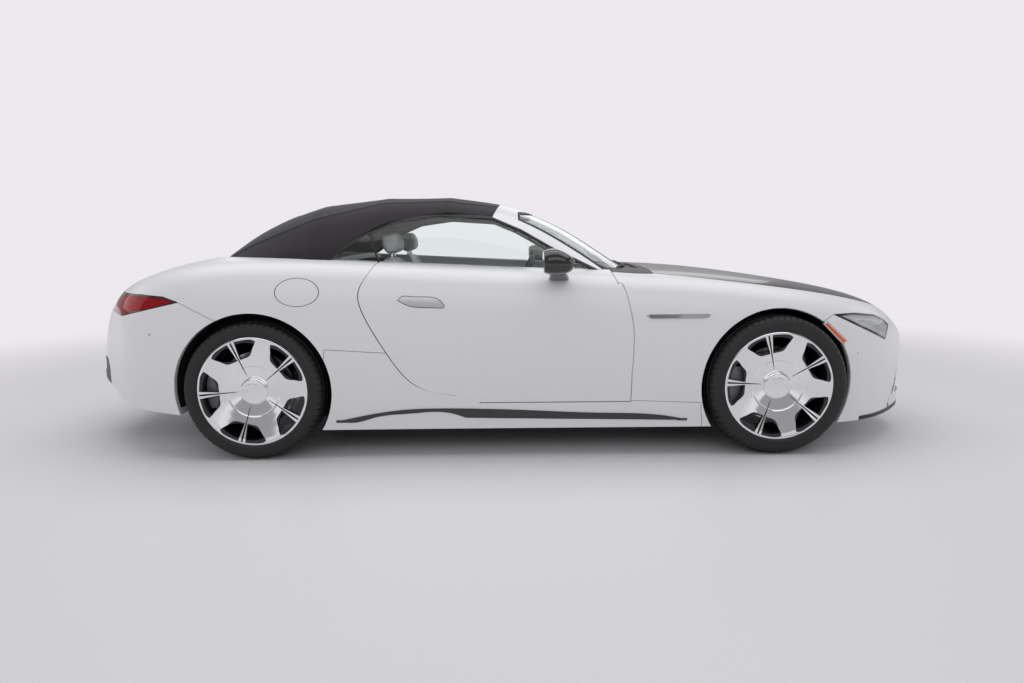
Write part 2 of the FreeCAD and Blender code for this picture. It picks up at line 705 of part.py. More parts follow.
# Panels parted from the body shell
shell = cut("body_shell", outer, inner, arches, door_cuts)
under_floor = box("under_floor", ("-body_length", "body_length"), ("-door_inner_low", "door_inner_low"),
                  ("0", "cabin_floor"))
under_tail = box("under_tail", ("-body_length", "0"), ("-door_inner_low", "door_inner_low"), ("0", "diff_top"))
muffler_bay = box("muffler_bay", ("-boot_rear", "-boot_front"),
                  ("-boot_half_width - seam_gap", "boot_half_width + seam_gap"), ("0", "boot_floor - panel_wall"))
front_half = box("front_half", ("fender_start", "body_length"),
                 ("-body_width", "0"), ("0", "roof_height"))
rear_half = box("rear_half", ("-body_length", "0"), ("-body_width", "0"), ("0", "roof_height"))
fender_right = cut("fender_right", common("fender_stock", shell, front_half),
                   bonnet_cut, cowl_cut, headlamp_cut, marker_cut, front_cut, sill_cut, cabin_block, under_floor)
quarter_right = cut("quarter_right", common("quarter_stock", shell, rear_half),
                    lid_cut, tonneau_cut, tail_cut, rear_cut, sill_cut, cabin_block, under_tail)
sill_side = cut("sill_side", sill_space, box(
    "sill_limit", ("-body_length", "body_length"), ("-door_inner_low", "body_width"), ("0", "roof_height")))
pin_space = cylinder("pin_space", "z", pin_place, "hinge_pin_radius + seat_gap", "hinge_pin_length")
sill_right = cut("sill_right", common("sill_stock", shell, sill_side), pin_space)
mouth_block = prism("mouth_block", "front", polygon(
    [(y * half_width, z * s.roof_height) for y, z in MOUTH_SHARES]), s.grille_back, far)
tow_space = cylinder("tow_space", "x", ("-body_length / 2", "-tow_hole_out", "tow_hole_height"),
                     "tow_hole_radius + seam_gap", "body_length")
diffuser_half = half_width * DIFFUSER_WIDTH_SHARE
diffuser_space = prism("diffuser_space", "side", polygon(side_points(DIFFUSER_SHARES)), -diffuser_half, diffuser_half)
diffuser_cut = prism("diffuser_cut", "side", polygon(grown(side_points(DIFFUSER_SHARES), s.seam_gap)),
                     -diffuser_half - s.seam_gap, diffuser_half + s.seam_gap)
tip = cylinder("tip", "x", ("-tip_end", "-tip_out", "tip_height"), "tip_radius", "tip_length")
tip_hole = cylinder("tip_hole", "x", ("-body_length", "-tip_out", "tip_height"), "tip_radius + moving_gap", "body_length")
tip_holes = pair("tip_holes", tip_hole)
front_bumper = cut("front_bumper", common("front_stock", shell, front_space), bonnet_cut,
                   pair("headlamp_cuts", headlamp_cut), pair("marker_cuts", marker_cut), mouth_block, tow_space)
rear_bumper = cut("rear_bumper", common("rear_stock", shell, rear_space), lid_rim_cut, tail_cut,
                  mirror("tail_cut_left", tail_cut), diffuser_cut, muffler_bay, tip_holes, tow_space)
rear_diffuser = cut("rear_diffuser", common("diffuser_stock", cut("diffuser_wall", outer, inner), diffuser_space),
                    muffler_bay, tip_holes)
bonnet = common("bonnet", cut("bonnet_skin", outer, inner), bonnet_space)
tail_clear = side_region("tail_clear", side_points(TAIL_LAMP_SHARES), tail_inner - s.moving_gap, s.moving_gap)
boot_lid = cut("boot_lid", common("lid_stock", outer, lid_space), inner, pair("tail_clears", tail_clear))
tonneau_panel = cut("tonneau_panel", common("tonneau_stock", shell, tonneau_space), lid_cut, roof_lining,
                    cabin_block)
cowl = cut("cowl", common("cowl_stock", shell, cowl_space), bonnet_cut, frame_lining)

# Lamps follow the skin
lamp_wall = cut("lamp_wall", outer, inner)
lamp_right = common("lamp_right", lamp_wall, headlamp_space)
marker_right = common("marker_right", lamp_wall, side_markers)
front_lamps = fuse("front_lamps", pair("headlamps", lamp_right), pair("markers", marker_right))
tail_lamp_right = common("tail_lamp_right", lamp_wall, tail_space)
tail_lamps = pair("tail_lamps", tail_lamp_right)

# Tub: what is left of the inner form between its hollows
engine_bay = box("engine_bay", ("bay_rear", "bay_front"), ("-bay_half_width", "bay_half_width"),
                 ("bay_floor", "roof_height"))
boot_space = box("boot_space", ("-boot_rear", "-boot_front"), ("-boot_half_width", "boot_half_width"),
                 ("boot_floor", "roof_height"))
stowage = box("stowage", ("-stowage_rear", "-stowage_front"),
              ("-stowage_half_width", "stowage_half_width"), ("stowage_floor", "roof_height"))
tunnel_groove = box("tunnel_groove", ("-muffler_front", "cabin_front"),
                    ("-tunnel_groove_half_width", "tunnel_groove_half_width"), ("0", "tunnel_groove_height"))
axle_bay_rear = box("axle_bay_rear", (REAR_AXLE + " - diff_length", REAR_AXLE + " + diff_length"),
                    ("-rear_arch_depth", "rear_arch_depth"), ("0", "diff_top"))
floor_ends = ["body_length / 2 * %s" % shares[0][0] for shares in (REAR_SEAM_SHARES, FRONT_SEAM_SHARES)]
floor_pan = box("floor_pan", floor_ends, ("-door_inner_low", "door_inner_low"), ("floor_height", "cabin_floor"))
tow_start = "body_length / 2 - tow_hole_length - panel_wall"
tow_holes = fuse("tow_holes", cylinder("tow_hole_front", "x", (tow_start, "-tow_hole_out", "tow_hole_height"),
                                       "tow_hole_radius", "tow_hole_length + panel_wall"),
                 cylinder("tow_hole_rear", "x", ("-body_length / 2", "-tow_hole_out", "tow_hole_height"),
                          "tow_hole_radius", "tow_hole_length + panel_wall"))
jack_pads = fuse("jack_pads_right", *[box("jack_pad_%d" % number, (along, along + " + jack_pad_side"), (
    "-jack_pad_out - jack_pad_side / 2", "-jack_pad_out + jack_pad_side / 2"), (
    "floor_height - jack_pad_depth", "floor_height + jack_pad_depth"))
    for number, along in enumerate(("-jack_pad_rear", "jack_pad_front"))])
floor_plate = common("floor_plate", outer, floor_pan)
tub_stock = fuse("tub_stock", inner, floor_plate)
clear_form = body_form("clear_form", s.panel_wall + s.moving_gap)
buffer_form = body_form("buffer_form", s.panel_wall + s.seat_gap)
under_bonnet = cut("under_bonnet", common("under_bonnet_stock", inner, bonnet_cut), clear_form)
under_lid = cut("under_lid", common("under_lid_stock", inner, lid_cut), clear_form)
buffers = []
for number, (along, out) in enumerate(BUFFER_PLACE_SHARES):
    for side in (-1, 1):
        start = ("body_length / 2 * %s" % along, "body_width / 2 * %s" % (out * side), "buffer_low")
        buffers.append(cylinder("buffer_%d_%d" % (number, side + 1), "z", start, "buffer_radius", "buffer_length"))
buffer_stock = common("buffer_stock", buffer_form, fuse("buffer_posts", *buffers))
tub_block = cut("tub_block", tub_stock, engine_bay, boot_space, stowage, cabin, arches, door_cuts, tunnel_groove,
                muffler_bay, axle_bay_rear, under_bonnet, under_lid, mouth_block, tip_holes, tow_holes)
tub = fuse("tub", tub_block, buffer_stock, pair("hinge_pins", hinge_pin), pair("jack_pads", jack_pads))

# Greenhouse: pillars with header, glass, soft top
pillar_points = side_points(PILLAR_EDGE_SHARES)
edge_points = side_points(ROOF_EDGE_SHARES)
front_edge = edge_points[:2]
above_pillars = prism("above_pillars", "side", polygon(
    [(front_edge[0][0] + s.seam_gap, tall)] + [(x + s.seam_gap, z) for x, z in front_edge] + pillar_points
    + [(far, pillar_points[-1][1]), (far, tall)]), -wide, wide)
screen_opening = prism("screen_opening", "front", polygon(
    [(y * half_width, z * s.roof_height) for y, z in SCREEN_SHARES]), s.header_x, far)
frame_stock = common("frame_stock", cut("frame_skin", roof_outer, frame_lining), above_pillars)
windscreen_frame = cut("windscreen_frame", frame_stock, screen_opening, outer)
pane = cut("pane", glass_face, glass_back)
screen_limit = prism("screen_limit", "side", polygon([(s.header_x, tall), (s.header_x, s.greenhouse_floor),
                                                     (far, s.greenhouse_floor), (far, tall)]), -wide, wide)
windscreen = cut("windscreen", common("screen_stock", pane, screen_opening, screen_limit), outer)
roof_region = prism("roof_region", "side", [[(edge_points[0][0], tall), edge_points[0]], edge_points[:2],
                                            edge_points[1:], [edge_points[-1], (edge_points[-1][0], s.greenhouse_floor)],
                                            [(edge_points[-1][0], s.greenhouse_floor), (-far, s.greenhouse_floor)],
                                            [(-far, s.greenhouse_floor), (-far, tall)]], -wide, wide)
rear_window_space = prism("rear_window_space", "front", polygon(
    [(y * half_width, z * s.roof_height) for y, z in REAR_WINDOW_SHARES]), -far, -s.rear_window_front)
soft_top = cut("soft_top", common("roof_stock", cut("roof_skin", roof_outer, roof_lining), roof_region),
               rear_window_space, outer)
rear_window = common("rear_window", cut("rear_glass_skin", glass_face, glass_back), rear_window_space)
window_points = side_points(QUARTER_WINDOW_SHARES)
quarter_window = cut("quarter_window_right", common("quarter_window_stock", pane, side_region(
    "quarter_window_space", window_points, s.greenhouse_floor / 2)), outer, roof_region)
fixed_glass = fuse("fixed_glass", windscreen, rear_window, quarter_window, mirror("quarter_window_left", quarter_window))

# Door glass: follows the greenhouse, parted from roof edge, pillar and quarter window
glass_region = side_region("glass_region", side_points(DOOR_GLASS_SHARES), s.greenhouse_floor / 2)
door_pane = cut("door_pane", greenhouse_form("door_pane_face", s.glass_inset),
                greenhouse_form("door_pane_back", s.glass_inset + s.door_glass_thickness))
door_glass_right = cut("door_glass_right", common("door_glass_stock", door_pane, glass_region), door_solid)

# Trims and grille
trim_skin = body_form("trim_skin", -s.trim_proud)
trim_wall = cut("trim_wall", trim_skin, outer)
vent_blade = common("vent_blade", trim_wall, side_region("vent_space", side_points(VENT_SHARES), lamp_inner))
sill_trim = common("sill_trim", trim_wall, side_region("sill_trim_space", side_points(SILL_TRIM_SHARES), lamp_inner))
side_trims = fuse("side_trims", pair("vent_blades", vent_blade), pair("sill_trims", sill_trim))

mouth_low, mouth_high = [MOUTH_SHARES[n][1] * s.roof_height for n in (0, 1)]
bars = []
bar_pitch = (mouth_high - mouth_low) / s.grille_bars
for number in range(int(s.grille_bars)):
    low = mouth_low + bar_pitch * (number + GRILLE_START_SHARE)
    bars.append(whole_region("grille_bar_%d" % number, [
        (s.grille_back, low), (s.grille_back, low + bar_pitch * GRILLE_BAR_SHARE),
        (far, low + bar_pitch * GRILLE_BAR_SHARE), (far, low)]))
grille_back_plate = whole_region("grille_back_plate", [
    (s.grille_back, mouth_low), (s.grille_back, mouth_high),
    (s.grille_back + s.grille_plate, mouth_high), (s.grille_back + s.grille_plate, mouth_low)])
grille_stock = fuse("grille_stock", grille_back_plate, *bars)
grille_limit = body_form("grille_limit", s.grille_setback)
front_grille = common("front_grille", grille_stock, grille_limit, mouth_block)

# Wheels
def wheel_parts(name, axle, side, radius, width, track, height, spoke_turn):
    """Tyre and rim of one wheel, turned about the wheel's own axle."""
    centre = Vector(axle, side * track / 2, height)
    half = width / 2

    def ring(label, points):
        wire = outline_wire(polygon(points), lambda r, w: Vector(axle, centre.y + side * w, height + r))
        solid = Part.Face(wire).revolve(centre, Vector(0, 1, 0), 360)
        if solid.Volume < 0:
            solid.reverse()
        return solid

    shoulder = s.tyre_shoulder
    tyre = ring(name, [
        (s.rim_radius, -half * BEAD_SHARE), (s.rim_radius + shoulder * BEAD_RISE_SHARE, -half),
        (radius - shoulder, -half), (radius - shoulder * SHOULDER_DROP_SHARE, -half + shoulder * SHOULDER_IN_SHARE),
        (radius, -half + shoulder), (radius, half - shoulder),
        (radius - shoulder * SHOULDER_DROP_SHARE, half - shoulder * SHOULDER_IN_SHARE), (radius - shoulder, half),
        (s.rim_radius + shoulder * BEAD_RISE_SHARE, half), (s.rim_radius, half * BEAD_SHARE)])
    barrel_half = half * BEAD_SHARE
    face_out = barrel_half
    barrel = ring(name, [
        (s.rim_radius - s.rim_wall, -barrel_half), (s.rim_lip_radius, -barrel_half),
        (s.rim_radius, -barrel_half + shoulder * BEAD_RISE_SHARE / 2), (s.rim_radius, face_out - shoulder * BEAD_RISE_SHARE / 2),
        (s.rim_lip_radius, face_out), (s.rim_radius - s.rim_wall, face_out)])
    shaped("tyre_" + name, tyre.cut(barrel))
    inside = s.rim_radius - s.rim_wall
    dish = ring(name, [
        (s.hub_bore_radius, face_out - s.rim_dish - s.rim_face_thickness), (inside, face_out - s.rim_face_thickness),
        (inside, face_out), (s.rim_cap_radius, face_out - s.rim_dish), (s.hub_bore_radius, face_out - s.rim_dish)])
    hub_in = face_out - s.rim_dish - s.rim_face_thickness - s.hub_length
    hub = ring(name, [
        (s.hub_bore_radius, hub_in), (s.rim_cap_radius, hub_in),
        (s.rim_cap_radius, face_out - s.rim_dish - s.rim_face_thickness / 2),
        (s.hub_bore_radius, face_out - s.rim_dish - s.rim_face_thickness / 2)])
    disc = ring(name, [
        (s.hub_bore_radius, hub_in), (s.front_disc_radius, hub_in),
        (s.front_disc_radius, hub_in + s.disc_thickness), (s.hub_bore_radius, hub_in + s.disc_thickness)])
    cap = ring(name, [
        (0, face_out - s.rim_dish), (s.rim_cap_radius, face_out - s.rim_dish),
        (s.rim_cap_radius * CAP_TOP_SHARE, face_out - s.rim_dish + s.cap_height), (0, face_out - s.rim_dish + s.cap_height)])

    def at(turn, out, across=0):
        """A point of the wheel's plane, at a turn and a reach, moved square to that turn."""
        return Vector(axle + out * math.cos(turn) - across * math.sin(turn), centre.y,
                      height + out * math.sin(turn) + across * math.cos(turn))

    pockets = []
    low, high = inside * POCKET_IN_SHARE, inside * POCKET_OUT_SHARE
    for spoke in range(int(s.spoke_count)):
        middle = FULL_TURN * spoke / s.spoke_count + math.radians(spoke_turn)
        for way in (-1, 1):
            bar_low = at(middle, low, way * s.bar_inner_half_width)
            bar_high = at(middle, high, way * s.bar_outer_half_width)
            rim_edge = [at(middle + way * turn * FULL_TURN, inside * out) for turn, out in POCKET_RIM_SHARES]
            flank = [at(middle + way * turn * FULL_TURN, inside * out) for turn, out in POCKET_SIDE_SHARES]
            runs = [[bar_low, bar_high], [bar_high] + rim_edge, [rim_edge[-1]] + flank + [bar_low]]
            outline = Part.Face(outline_wire(runs, None))
            pockets.append(outline.extrude(Vector(0, side * width, 0)))
        slot_ends = [at(middle, out, way * half_width) for out, half_width, way in (
            (s.slot_start, s.slot_inner_half_width, 1), (high, s.slot_outer_half_width, 1),
            (high, s.slot_outer_half_width, -1), (s.slot_start, s.slot_inner_half_width, -1))]
        slot = Part.Face(Part.makePolygon(slot_ends + slot_ends[:1]))
        pockets.append(slot.extrude(Vector(0, side * width, 0)))
    rim = barrel.fuse([dish, hub, disc, cap]).cut(pockets)
    shaped("rim_" + name, rim)
    return centre, hub_in


wheels = {}
for side_name, side in (("right", -1), ("left", 1)):
    wheels["front_" + side_name] = wheel_parts("front_" + side_name, front_axle, side, s.front_tyre_radius,
                                               s.front_tyre_width, s.front_track, s.front_tyre_radius, s.front_spoke_turn)
    wheels["rear_" + side_name] = wheel_parts("rear_" + side_name, rear_axle, side, s.rear_tyre_radius,
                                              s.rear_tyre_width, s.rear_track, s.rear_tyre_radius, s.rear_spoke_turn)
hub_front = abs(wheels["front_right"][0].y) + wheels["front_right"][1]
hub_rear = abs(wheels["rear_right"][0].y) + wheels["rear_right"][1]


# Knuckles, arms and dampers; the arms stand on the wheel house wall
def reach_box(name, axle, out_low, out_high, low, high, half):
    """A right-hand block across the car at an axle, between two distances from the middle."""
    return box(name, (axle + " - " + half, axle + " + " + half), ("-(%s)" % out_high, "-(%s)" % out_low), (low, high))


def suspension(name, axle, depth):
    lower = reach_box(name + "_lower_arm", axle, depth, "arm_end_out", "arm_lower_height",
                      "arm_lower_height + arm_thickness", "arm_half_width")
    upper = reach_box(name + "_upper_arm", axle, depth, "arm_end_out", "arm_upper_height",
                      "arm_upper_height + arm_thickness", "arm_half_width")
    return [lower, upper]


KNUCKLE_LOW = "arm_lower_height + arm_thickness + seat_gap"
KNUCKLE_HIGH = "arm_upper_height - seat_gap"
front_lower, front_upper = suspension("front", FRONT_AXLE, "front_arch_depth")
damper_front = cylinder("front_damper", "z", (FRONT_AXLE + " + arm_half_width + damper_radius / 2", "-damper_out",
                                             "arm_lower_height"), "damper_radius",
                        "front_tyre_radius + arch_radius * %s - arm_lower_height" % DAMPER_TOP_SHARE)
front_arms = fuse("front_arms", front_lower, front_upper, damper_front)
front_suspension = pair("front_suspension", front_arms)
post = reach_box("knuckle_post", FRONT_AXLE, "kingpin_out - knuckle_half_depth", "kingpin_out + knuckle_half_depth",
                 KNUCKLE_LOW, KNUCKLE_HIGH, "knuckle_half_width")
spindle_end = hub_front + s.hub_length + s.rim_face_thickness * SPINDLE_SHARE
spindle = shaped("spindle", Part.makeCylinder(
    s.hub_bore_radius - s.seat_gap, spindle_end - s.kingpin_out, Vector(front_axle, -s.kingpin_out, s.front_tyre_radius),
    Vector(0, -1, 0)))


def caliper(name, axle, height, inner_out, hub_place):
    """A brake caliper behind the disc, with a slot for it, and its bridge to the carrier."""
    back = axle - s.front_disc_radius - s.caliper_length * CALIPER_BACK_SHARE
    front = axle - s.front_disc_radius + s.caliper_length * CALIPER_FRONT_SHARE
    middle = hub_place + s.disc_thickness / 2
    block = Part.makeBox(front - back, s.caliper_thickness, s.caliper_height,
                         Vector(back, -middle - s.caliper_thickness / 2, height - s.caliper_height / 2))
    arm_out = hub_place - s.moving_gap
    arm = Part.makeBox(axle - back, arm_out + s.knuckle_half_depth - inner_out, s.caliper_height / 2,
                       Vector(back, -arm_out, height - s.caliper_height / 4))
    slot = Part.makeCylinder(s.front_disc_radius + s.moving_gap, s.disc_thickness + 2 * s.moving_gap,
                             Vector(axle, -hub_place + s.moving_gap, height), Vector(0, -1, 0))
    barrel_space = Part.makeCylinder(s.rim_radius - s.rim_wall - s.moving_gap, s.body_width,
                                     Vector(axle, 0, height), Vector(0, -1, 0))
    return shaped(name, block.fuse(arm).common(barrel_space).cut(slot))


caliper_front = caliper("caliper_front", front_axle, s.front_tyre_radius, s.kingpin_out, hub_front)
knuckle_right = fuse("knuckle_right", post, spindle, caliper_front)
rear_lower, rear_upper = suspension("rear", REAR_AXLE, "rear_arch_depth")
rear_post = reach_box("rear_post", REAR_AXLE, "kingpin_out - knuckle_half_depth", "kingpin_out + knuckle_half_depth",
                      "arm_lower_height", "arm_upper_height", "knuckle_half_width")
rear_spindle = shaped("rear_spindle", Part.makeCylinder(
    s.hub_bore_radius - s.seat_gap, hub_rear + s.hub_length + s.rim_face_thickness * SPINDLE_SHARE - s.kingpin_out,
    Vector(rear_axle, -s.kingpin_out, s.rear_tyre_radius), Vector(0, -1, 0)))
caliper_rear = caliper("caliper_rear", rear_axle, s.rear_tyre_radius, s.kingpin_out, hub_rear)
half_shaft = cylinder("half_shaft", "y", (REAR_AXLE, "-kingpin_out", "rear_tyre_radius"), "half_shaft_radius", "kingpin_out")
diff = box("diff", (REAR_AXLE + " - diff_length / 2", REAR_AXLE + " + diff_length / 2"),
           ("-diff_length / 2", "0"), ("rear_tyre_radius - diff_length / 2", "diff_top"))
rear_side = fuse("rear_side", rear_lower, rear_upper, rear_post, rear_spindle, caliper_rear, half_shaft, diff)
rear_suspension = pair("rear_suspension", rear_side)
knuckle_left = mirror("knuckle_left", knuckle_right)

# Engine, exhaust
engine_block = box("engine_block", ("bay_rear + panel_wall", "bay_rear + panel_wall + engine_length"),
                   ("-engine_half_width", "engine_half_width"), ("bay_floor", "bay_floor + engine_height"))
pipe = cylinder("pipe", "x", ("-muffler_front - pipe_radius", "0", "pipe_height"), "pipe_radius",
                "cabin_front + muffler_front + pipe_radius - moving_gap")
muffler = box("muffler", ("-muffler_front - muffler_length", "-muffler_front"),
              ("-muffler_half_width", "muffler_half_width"),
              ("boot_floor - panel_wall - muffler_height", "boot_floor - panel_wall"))
down_pipe = box("down_pipe", ("-muffler_front - pipe_radius * 2", "-muffler_front"),
                ("-pipe_radius", "pipe_radius"), ("pipe_height - pipe_radius", "boot_floor - panel_wall"))
exhaust = fuse("exhaust", pipe, down_pipe, muffler, pair("tips", tip))

# Dashboard with console and column
dash_points = [(x * s.cabin_front, z * s.roof_height) for x, z in DASH_SHARES]
dash = prism("dash", "side", polygon(dash_points), -s.door_inner_top + s.moving_gap, s.door_inner_top - s.moving_gap)
console = box("console", ("-console_back", "console_front"), ("-console_half_width", "console_half_width"),
              ("tunnel_height", "tunnel_height + console_height"))
lean = math.radians(s.steering_tilt)
wheel_centre = Vector(s.steering_wheel_x, s.seat_centre_out, s.steering_wheel_height)
to_driver = Vector(-math.cos(lean), 0, math.sin(lean))
column_start = wheel_centre - to_driver * s.steering_hub_depth
column = shaped("column", Part.makeCylinder(s.column_radius, s.column_length, column_start, to_driver * -1))
console_rise = box("console_rise", ("console_rise_back", "console_front"),
                   ("-console_half_width", "console_half_width"), ("tunnel_height", "door_inner_top"))
dashboard = fuse("dashboard", dash, console, console_rise, column)
ring = Part.makeTorus(s.steering_wheel_radius - s.steering_rim_radius, s.steering_rim_radius, wheel_centre, to_driver)
wheel_hub = Part.makeCylinder(s.steering_hub_radius, s.steering_hub_depth - s.seat_gap,
                              wheel_centre - to_driver * (s.steering_hub_depth - s.seat_gap), to_driver)
spokes = []
for turn in (90, -90, 180):
    arm = Part.makeBox(s.steering_rim_radius * 2, s.steering_wheel_radius - s.steering_rim_radius, s.steering_rim_radius,
                       Vector(-s.steering_rim_radius, 0, -s.steering_rim_radius / 2))
    arm.rotate(Vector(), Vector(0, 0, 1), turn)
    arm.rotate(Vector(), Vector(0, 1, 0), -90 + s.steering_tilt)
    arm.translate(wheel_centre)
    spokes.append(arm)
steering_wheel = shaped("steering_wheel", ring.fuse([wheel_hub] + spokes))

# Seats: cushion, backrest and headrest on two posts
def seat_slice(name, shares, half):
    """A block of the right-hand seat over its side outline, centred on the seat."""
    return prism(name, "side", polygon(side_points(shares)), -s.seat_centre_out - half, -s.seat_centre_out + half)


seat_half = s.seat_width / 2
seat_pieces = [seat_slice("seat_cushion", CUSHION_SHARES, seat_half), seat_slice("seat_back", BACKREST_SHARES, seat_half),
               seat_slice("seat_headrest", HEADREST_SHARES, seat_half * HEADREST_WIDTH_SHARE)]
for number, way in enumerate((-1, 1)):
    seat_pieces.append(cylinder("seat_post_%d" % number, "z", (
        "-seat_post_behind", "-seat_centre_out + %d * seat_post_out" % way, "seat_post_low"),
        "seat_post_radius", "seat_post_length"))
seat_right = fuse("seat_right", *seat_pieces)
seat_left = mirror("seat_left", seat_right)

# Mirrors stand on the doors by a foot
scale = FreeCAD.Matrix()
scale.scale(s.mirror_length / s.mirror_width, 1, s.mirror_height / s.mirror_width)
housing_shape = Part.makeSphere(s.mirror_width / 2).transformGeometry(scale)
housing_shape.translate(Vector(s.mirror_x, -s.mirror_out, s.mirror_centre_height))
housing = shaped("mirror_housing", housing_shape)
foot_start = Vector(s.mirror_x, -half_width * MIRROR_FOOT_SHARE, s.mirror_centre_height - s.mirror_height / 2)
foot_shape = Part.makeCylinder(s.mirror_foot_radius, s.mirror_out + foot_start.y, foot_start, Vector(0, -1, 0))
foot_shape.rotate(foot_start, Vector(1, 0, 0), -s.mirror_foot_lean)
mirror_right = cut("mirror_right", fuse("mirror_stock", housing, shaped("mirror_foot", foot_shape)), outer)
mirror_left = mirror("mirror_left", mirror_right)

# Left-hand panels
fender_left = mirror("fender_left", fender_right)
quarter_left = mirror("quarter_left", quarter_right)
sill_left = mirror("sill_left", sill_right)
door_left = mirror("door_left", door_solid)
door_glass_left = mirror("door_glass_left", door_glass_right)

NODES = (
    "tub sill_right sill_left front_bumper front_grille fender_right fender_left quarter_right quarter_left "
    "rear_bumper rear_diffuser tonneau_panel windscreen_frame fixed_glass soft_top front_lamps tail_lamps "
    "side_trims seat_right seat_left dashboard engine_block exhaust front_suspension rear_suspension cowl "
    "door_right door_left door_glass_right door_glass_left mirror_right mirror_left bonnet boot_lid "
    "knuckle_right knuckle_left rim_front_right rim_front_left rim_rear_right rim_rear_left "
    "tyre_front_right tyre_front_left tyre_rear_right tyre_rear_left steering_wheel"
).split()

doc.recompute()
failed = [thing.Name for thing in doc.Objects if "Invalid" in thing.State or "Error" in thing.State]
if failed:
    raise RuntimeError("not built: " + ", ".join(failed))
os.makedirs("parts", exist_ok=True)
for node in NODES:
    piece = doc.getObject(node)
    piece.Label = node
    shape = piece.Shape
    if shape.isNull() or not shape.isValid() or not shape.Solids:
        raise RuntimeError("not a sound solid: " + node)
    shape.exportStep("parts/%s.step" % node)
    print(node, len(shape.Solids), round(shape.Volume / 1e6, 2))
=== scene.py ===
import json
import math
from types import SimpleNamespace

import bpy
import numpy as np
from mathutils import Matrix, Vector


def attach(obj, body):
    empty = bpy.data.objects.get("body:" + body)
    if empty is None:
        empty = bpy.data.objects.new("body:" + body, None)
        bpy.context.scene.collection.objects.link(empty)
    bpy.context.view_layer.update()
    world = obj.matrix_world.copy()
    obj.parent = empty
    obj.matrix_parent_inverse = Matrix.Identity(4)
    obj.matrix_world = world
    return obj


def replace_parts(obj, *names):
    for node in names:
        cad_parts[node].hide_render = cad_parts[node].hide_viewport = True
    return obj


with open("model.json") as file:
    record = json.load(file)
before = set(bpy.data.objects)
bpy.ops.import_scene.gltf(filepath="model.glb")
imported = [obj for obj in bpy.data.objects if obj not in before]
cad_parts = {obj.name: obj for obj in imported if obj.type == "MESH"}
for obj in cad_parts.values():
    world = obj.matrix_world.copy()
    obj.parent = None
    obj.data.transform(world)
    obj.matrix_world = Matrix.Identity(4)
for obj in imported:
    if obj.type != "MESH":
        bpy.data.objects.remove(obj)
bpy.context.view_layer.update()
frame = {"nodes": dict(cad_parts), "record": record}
nodes = frame["nodes"]

# Sizes in metres, the same as in the CAD source
HALF_LENGTH = 4.705 / 2
HALF_WIDTH = 1.915 / 2
ROOF = 1.357
FLOOR = 0.15
FRONT_AXLE = HALF_LENGTH - 0.937
REAR_AXLE = FRONT_AXLE - 2.7
FRONT_RADIUS = 0.363
REAR_RADIUS = 0.358
HINGE_X = FRONT_AXLE - 0.82
HINGE_OUT = 0.895
REACH = HALF_LENGTH * 0.5637
NOSE = HALF_WIDTH * 0.0794
DOOR_LOW = 0.214 * ROOF
GAP = 0.005
SEAM = 0.0028
ARCH = 0.402
# Widths of the dark rings round the door handle and the fuel flap: painted shade standing in for the shade
# in their gaps
HANDLE_GAP_SHADE = 0.0035
FLAP_GAP_SHADE = 0.0032
MOUTH_TRIM = 0.014
BLADE_OUT = 0.007
SLOT_OUT = 0.02
MARKER_RIM = 0.004
WELT_OUT = 0.0045
BAND = 0.012
WINDOW_RIM = 0.014
HEADLAMP_LEVELS = (-0.008, -0.02, -0.028)
TAIL_LEVELS = (-0.006, -0.022, -0.029)

# Where cuts begin or end: along the car, off its middle and above the ground
NOSE_FROM = 1.9
MOUTH_FROM = 2.0
LAMPS_FROM = 1.5
REAR_GLASS_FROM = -1.0
HEADER_X = 0.095
CABIN_X = -0.11
CABIN_LONG = 0.76
CABIN_WIDE = 0.705
DOOR_INNER = 0.69
ARCH_INNER = 0.49
TAIL_LAMP_INNER = 0.4 * HALF_WIDTH
HEADLAMP_INNER = 0.55 * HALF_WIDTH
DIFFUSER_OUT = 0.52 * HALF_WIDTH
SPLITTER_TOP = 0.172
GLASS_LOW = 0.84
BONNET_LOW = 0.48 * ROOF
LID_LOW = 0.567 * ROOF
TOP_LOW = 0.6 * ROOF
FLAP_X = -1.039
FLAP_Z = 0.863
FLAP_LONG = 0.108
FLAP_HIGH = 0.069
FLAP_MEAN = 0.08
TIP_X = -2.29
TIP_OUT = 0.33
TIP_Z = 0.405
TIP_HOLE = 0.042
CORE = (0, 0, 0.4)

# Cells of the skins, and how near to a point a cut snaps onto it
CELL = 0.013
TOP_CELL = 0.018
SNAP = 0.0002

SIDES = (("right", -1), ("left", 1))
TURN = 2 * math.pi

# Outlines and sections as shares of half the length, half the width and the roof's height
BODY_STATIONS = (
    (1.0, 1.0, 0.367, 0.339, 0.226), (1.0, 1.0, 0.43, 0.4, 0.38), (0.985, 0.949, 0.445, 0.435, 0.565),
    (0.9, 0.85, 0.572, 0.535, 0.843), (0.745, 0.725, 0.635, 0.595, 0.965),
    (0.489, 0.489, 0.698, 0.656, 0.997), (0.298, 0.298, 0.711, 0.682, 0.992),
    (0.085, 0.085, 0.722, 0.696, 0.99), (-0.128, -0.128, 0.737, 0.715, 0.99),
    (-0.34, -0.34, 0.759, 0.733, 0.995), (-0.51, -0.51, 0.774, 0.744, 1.0),
    (-0.68, -0.68, 0.77, 0.73, 0.999), (-0.8, -0.785, 0.712, 0.675, 0.96),
    (-0.892, -0.85, 0.665, 0.6, 0.86), (-0.955, -0.885, 0.58, 0.52, 0.7),
    (-0.992, -0.955, 0.49, 0.43, 0.51), (-1.0, -1.0, 0.367, 0.339, 0.32),
)
BODY_SECTION = (
    (0.0, 1.0, 1.0), (0.38, 1.0, 1.0), (0.7, 1.0, 0.75), (0.9, 1.0, 0.3), (0.985, 0.9, 0.0),
    (1.0, 0.66, 0.0), (1.0, 0.42, 0.0), (0.985, 0.2, 0.0), (0.97, 0.0, 0.0),
)
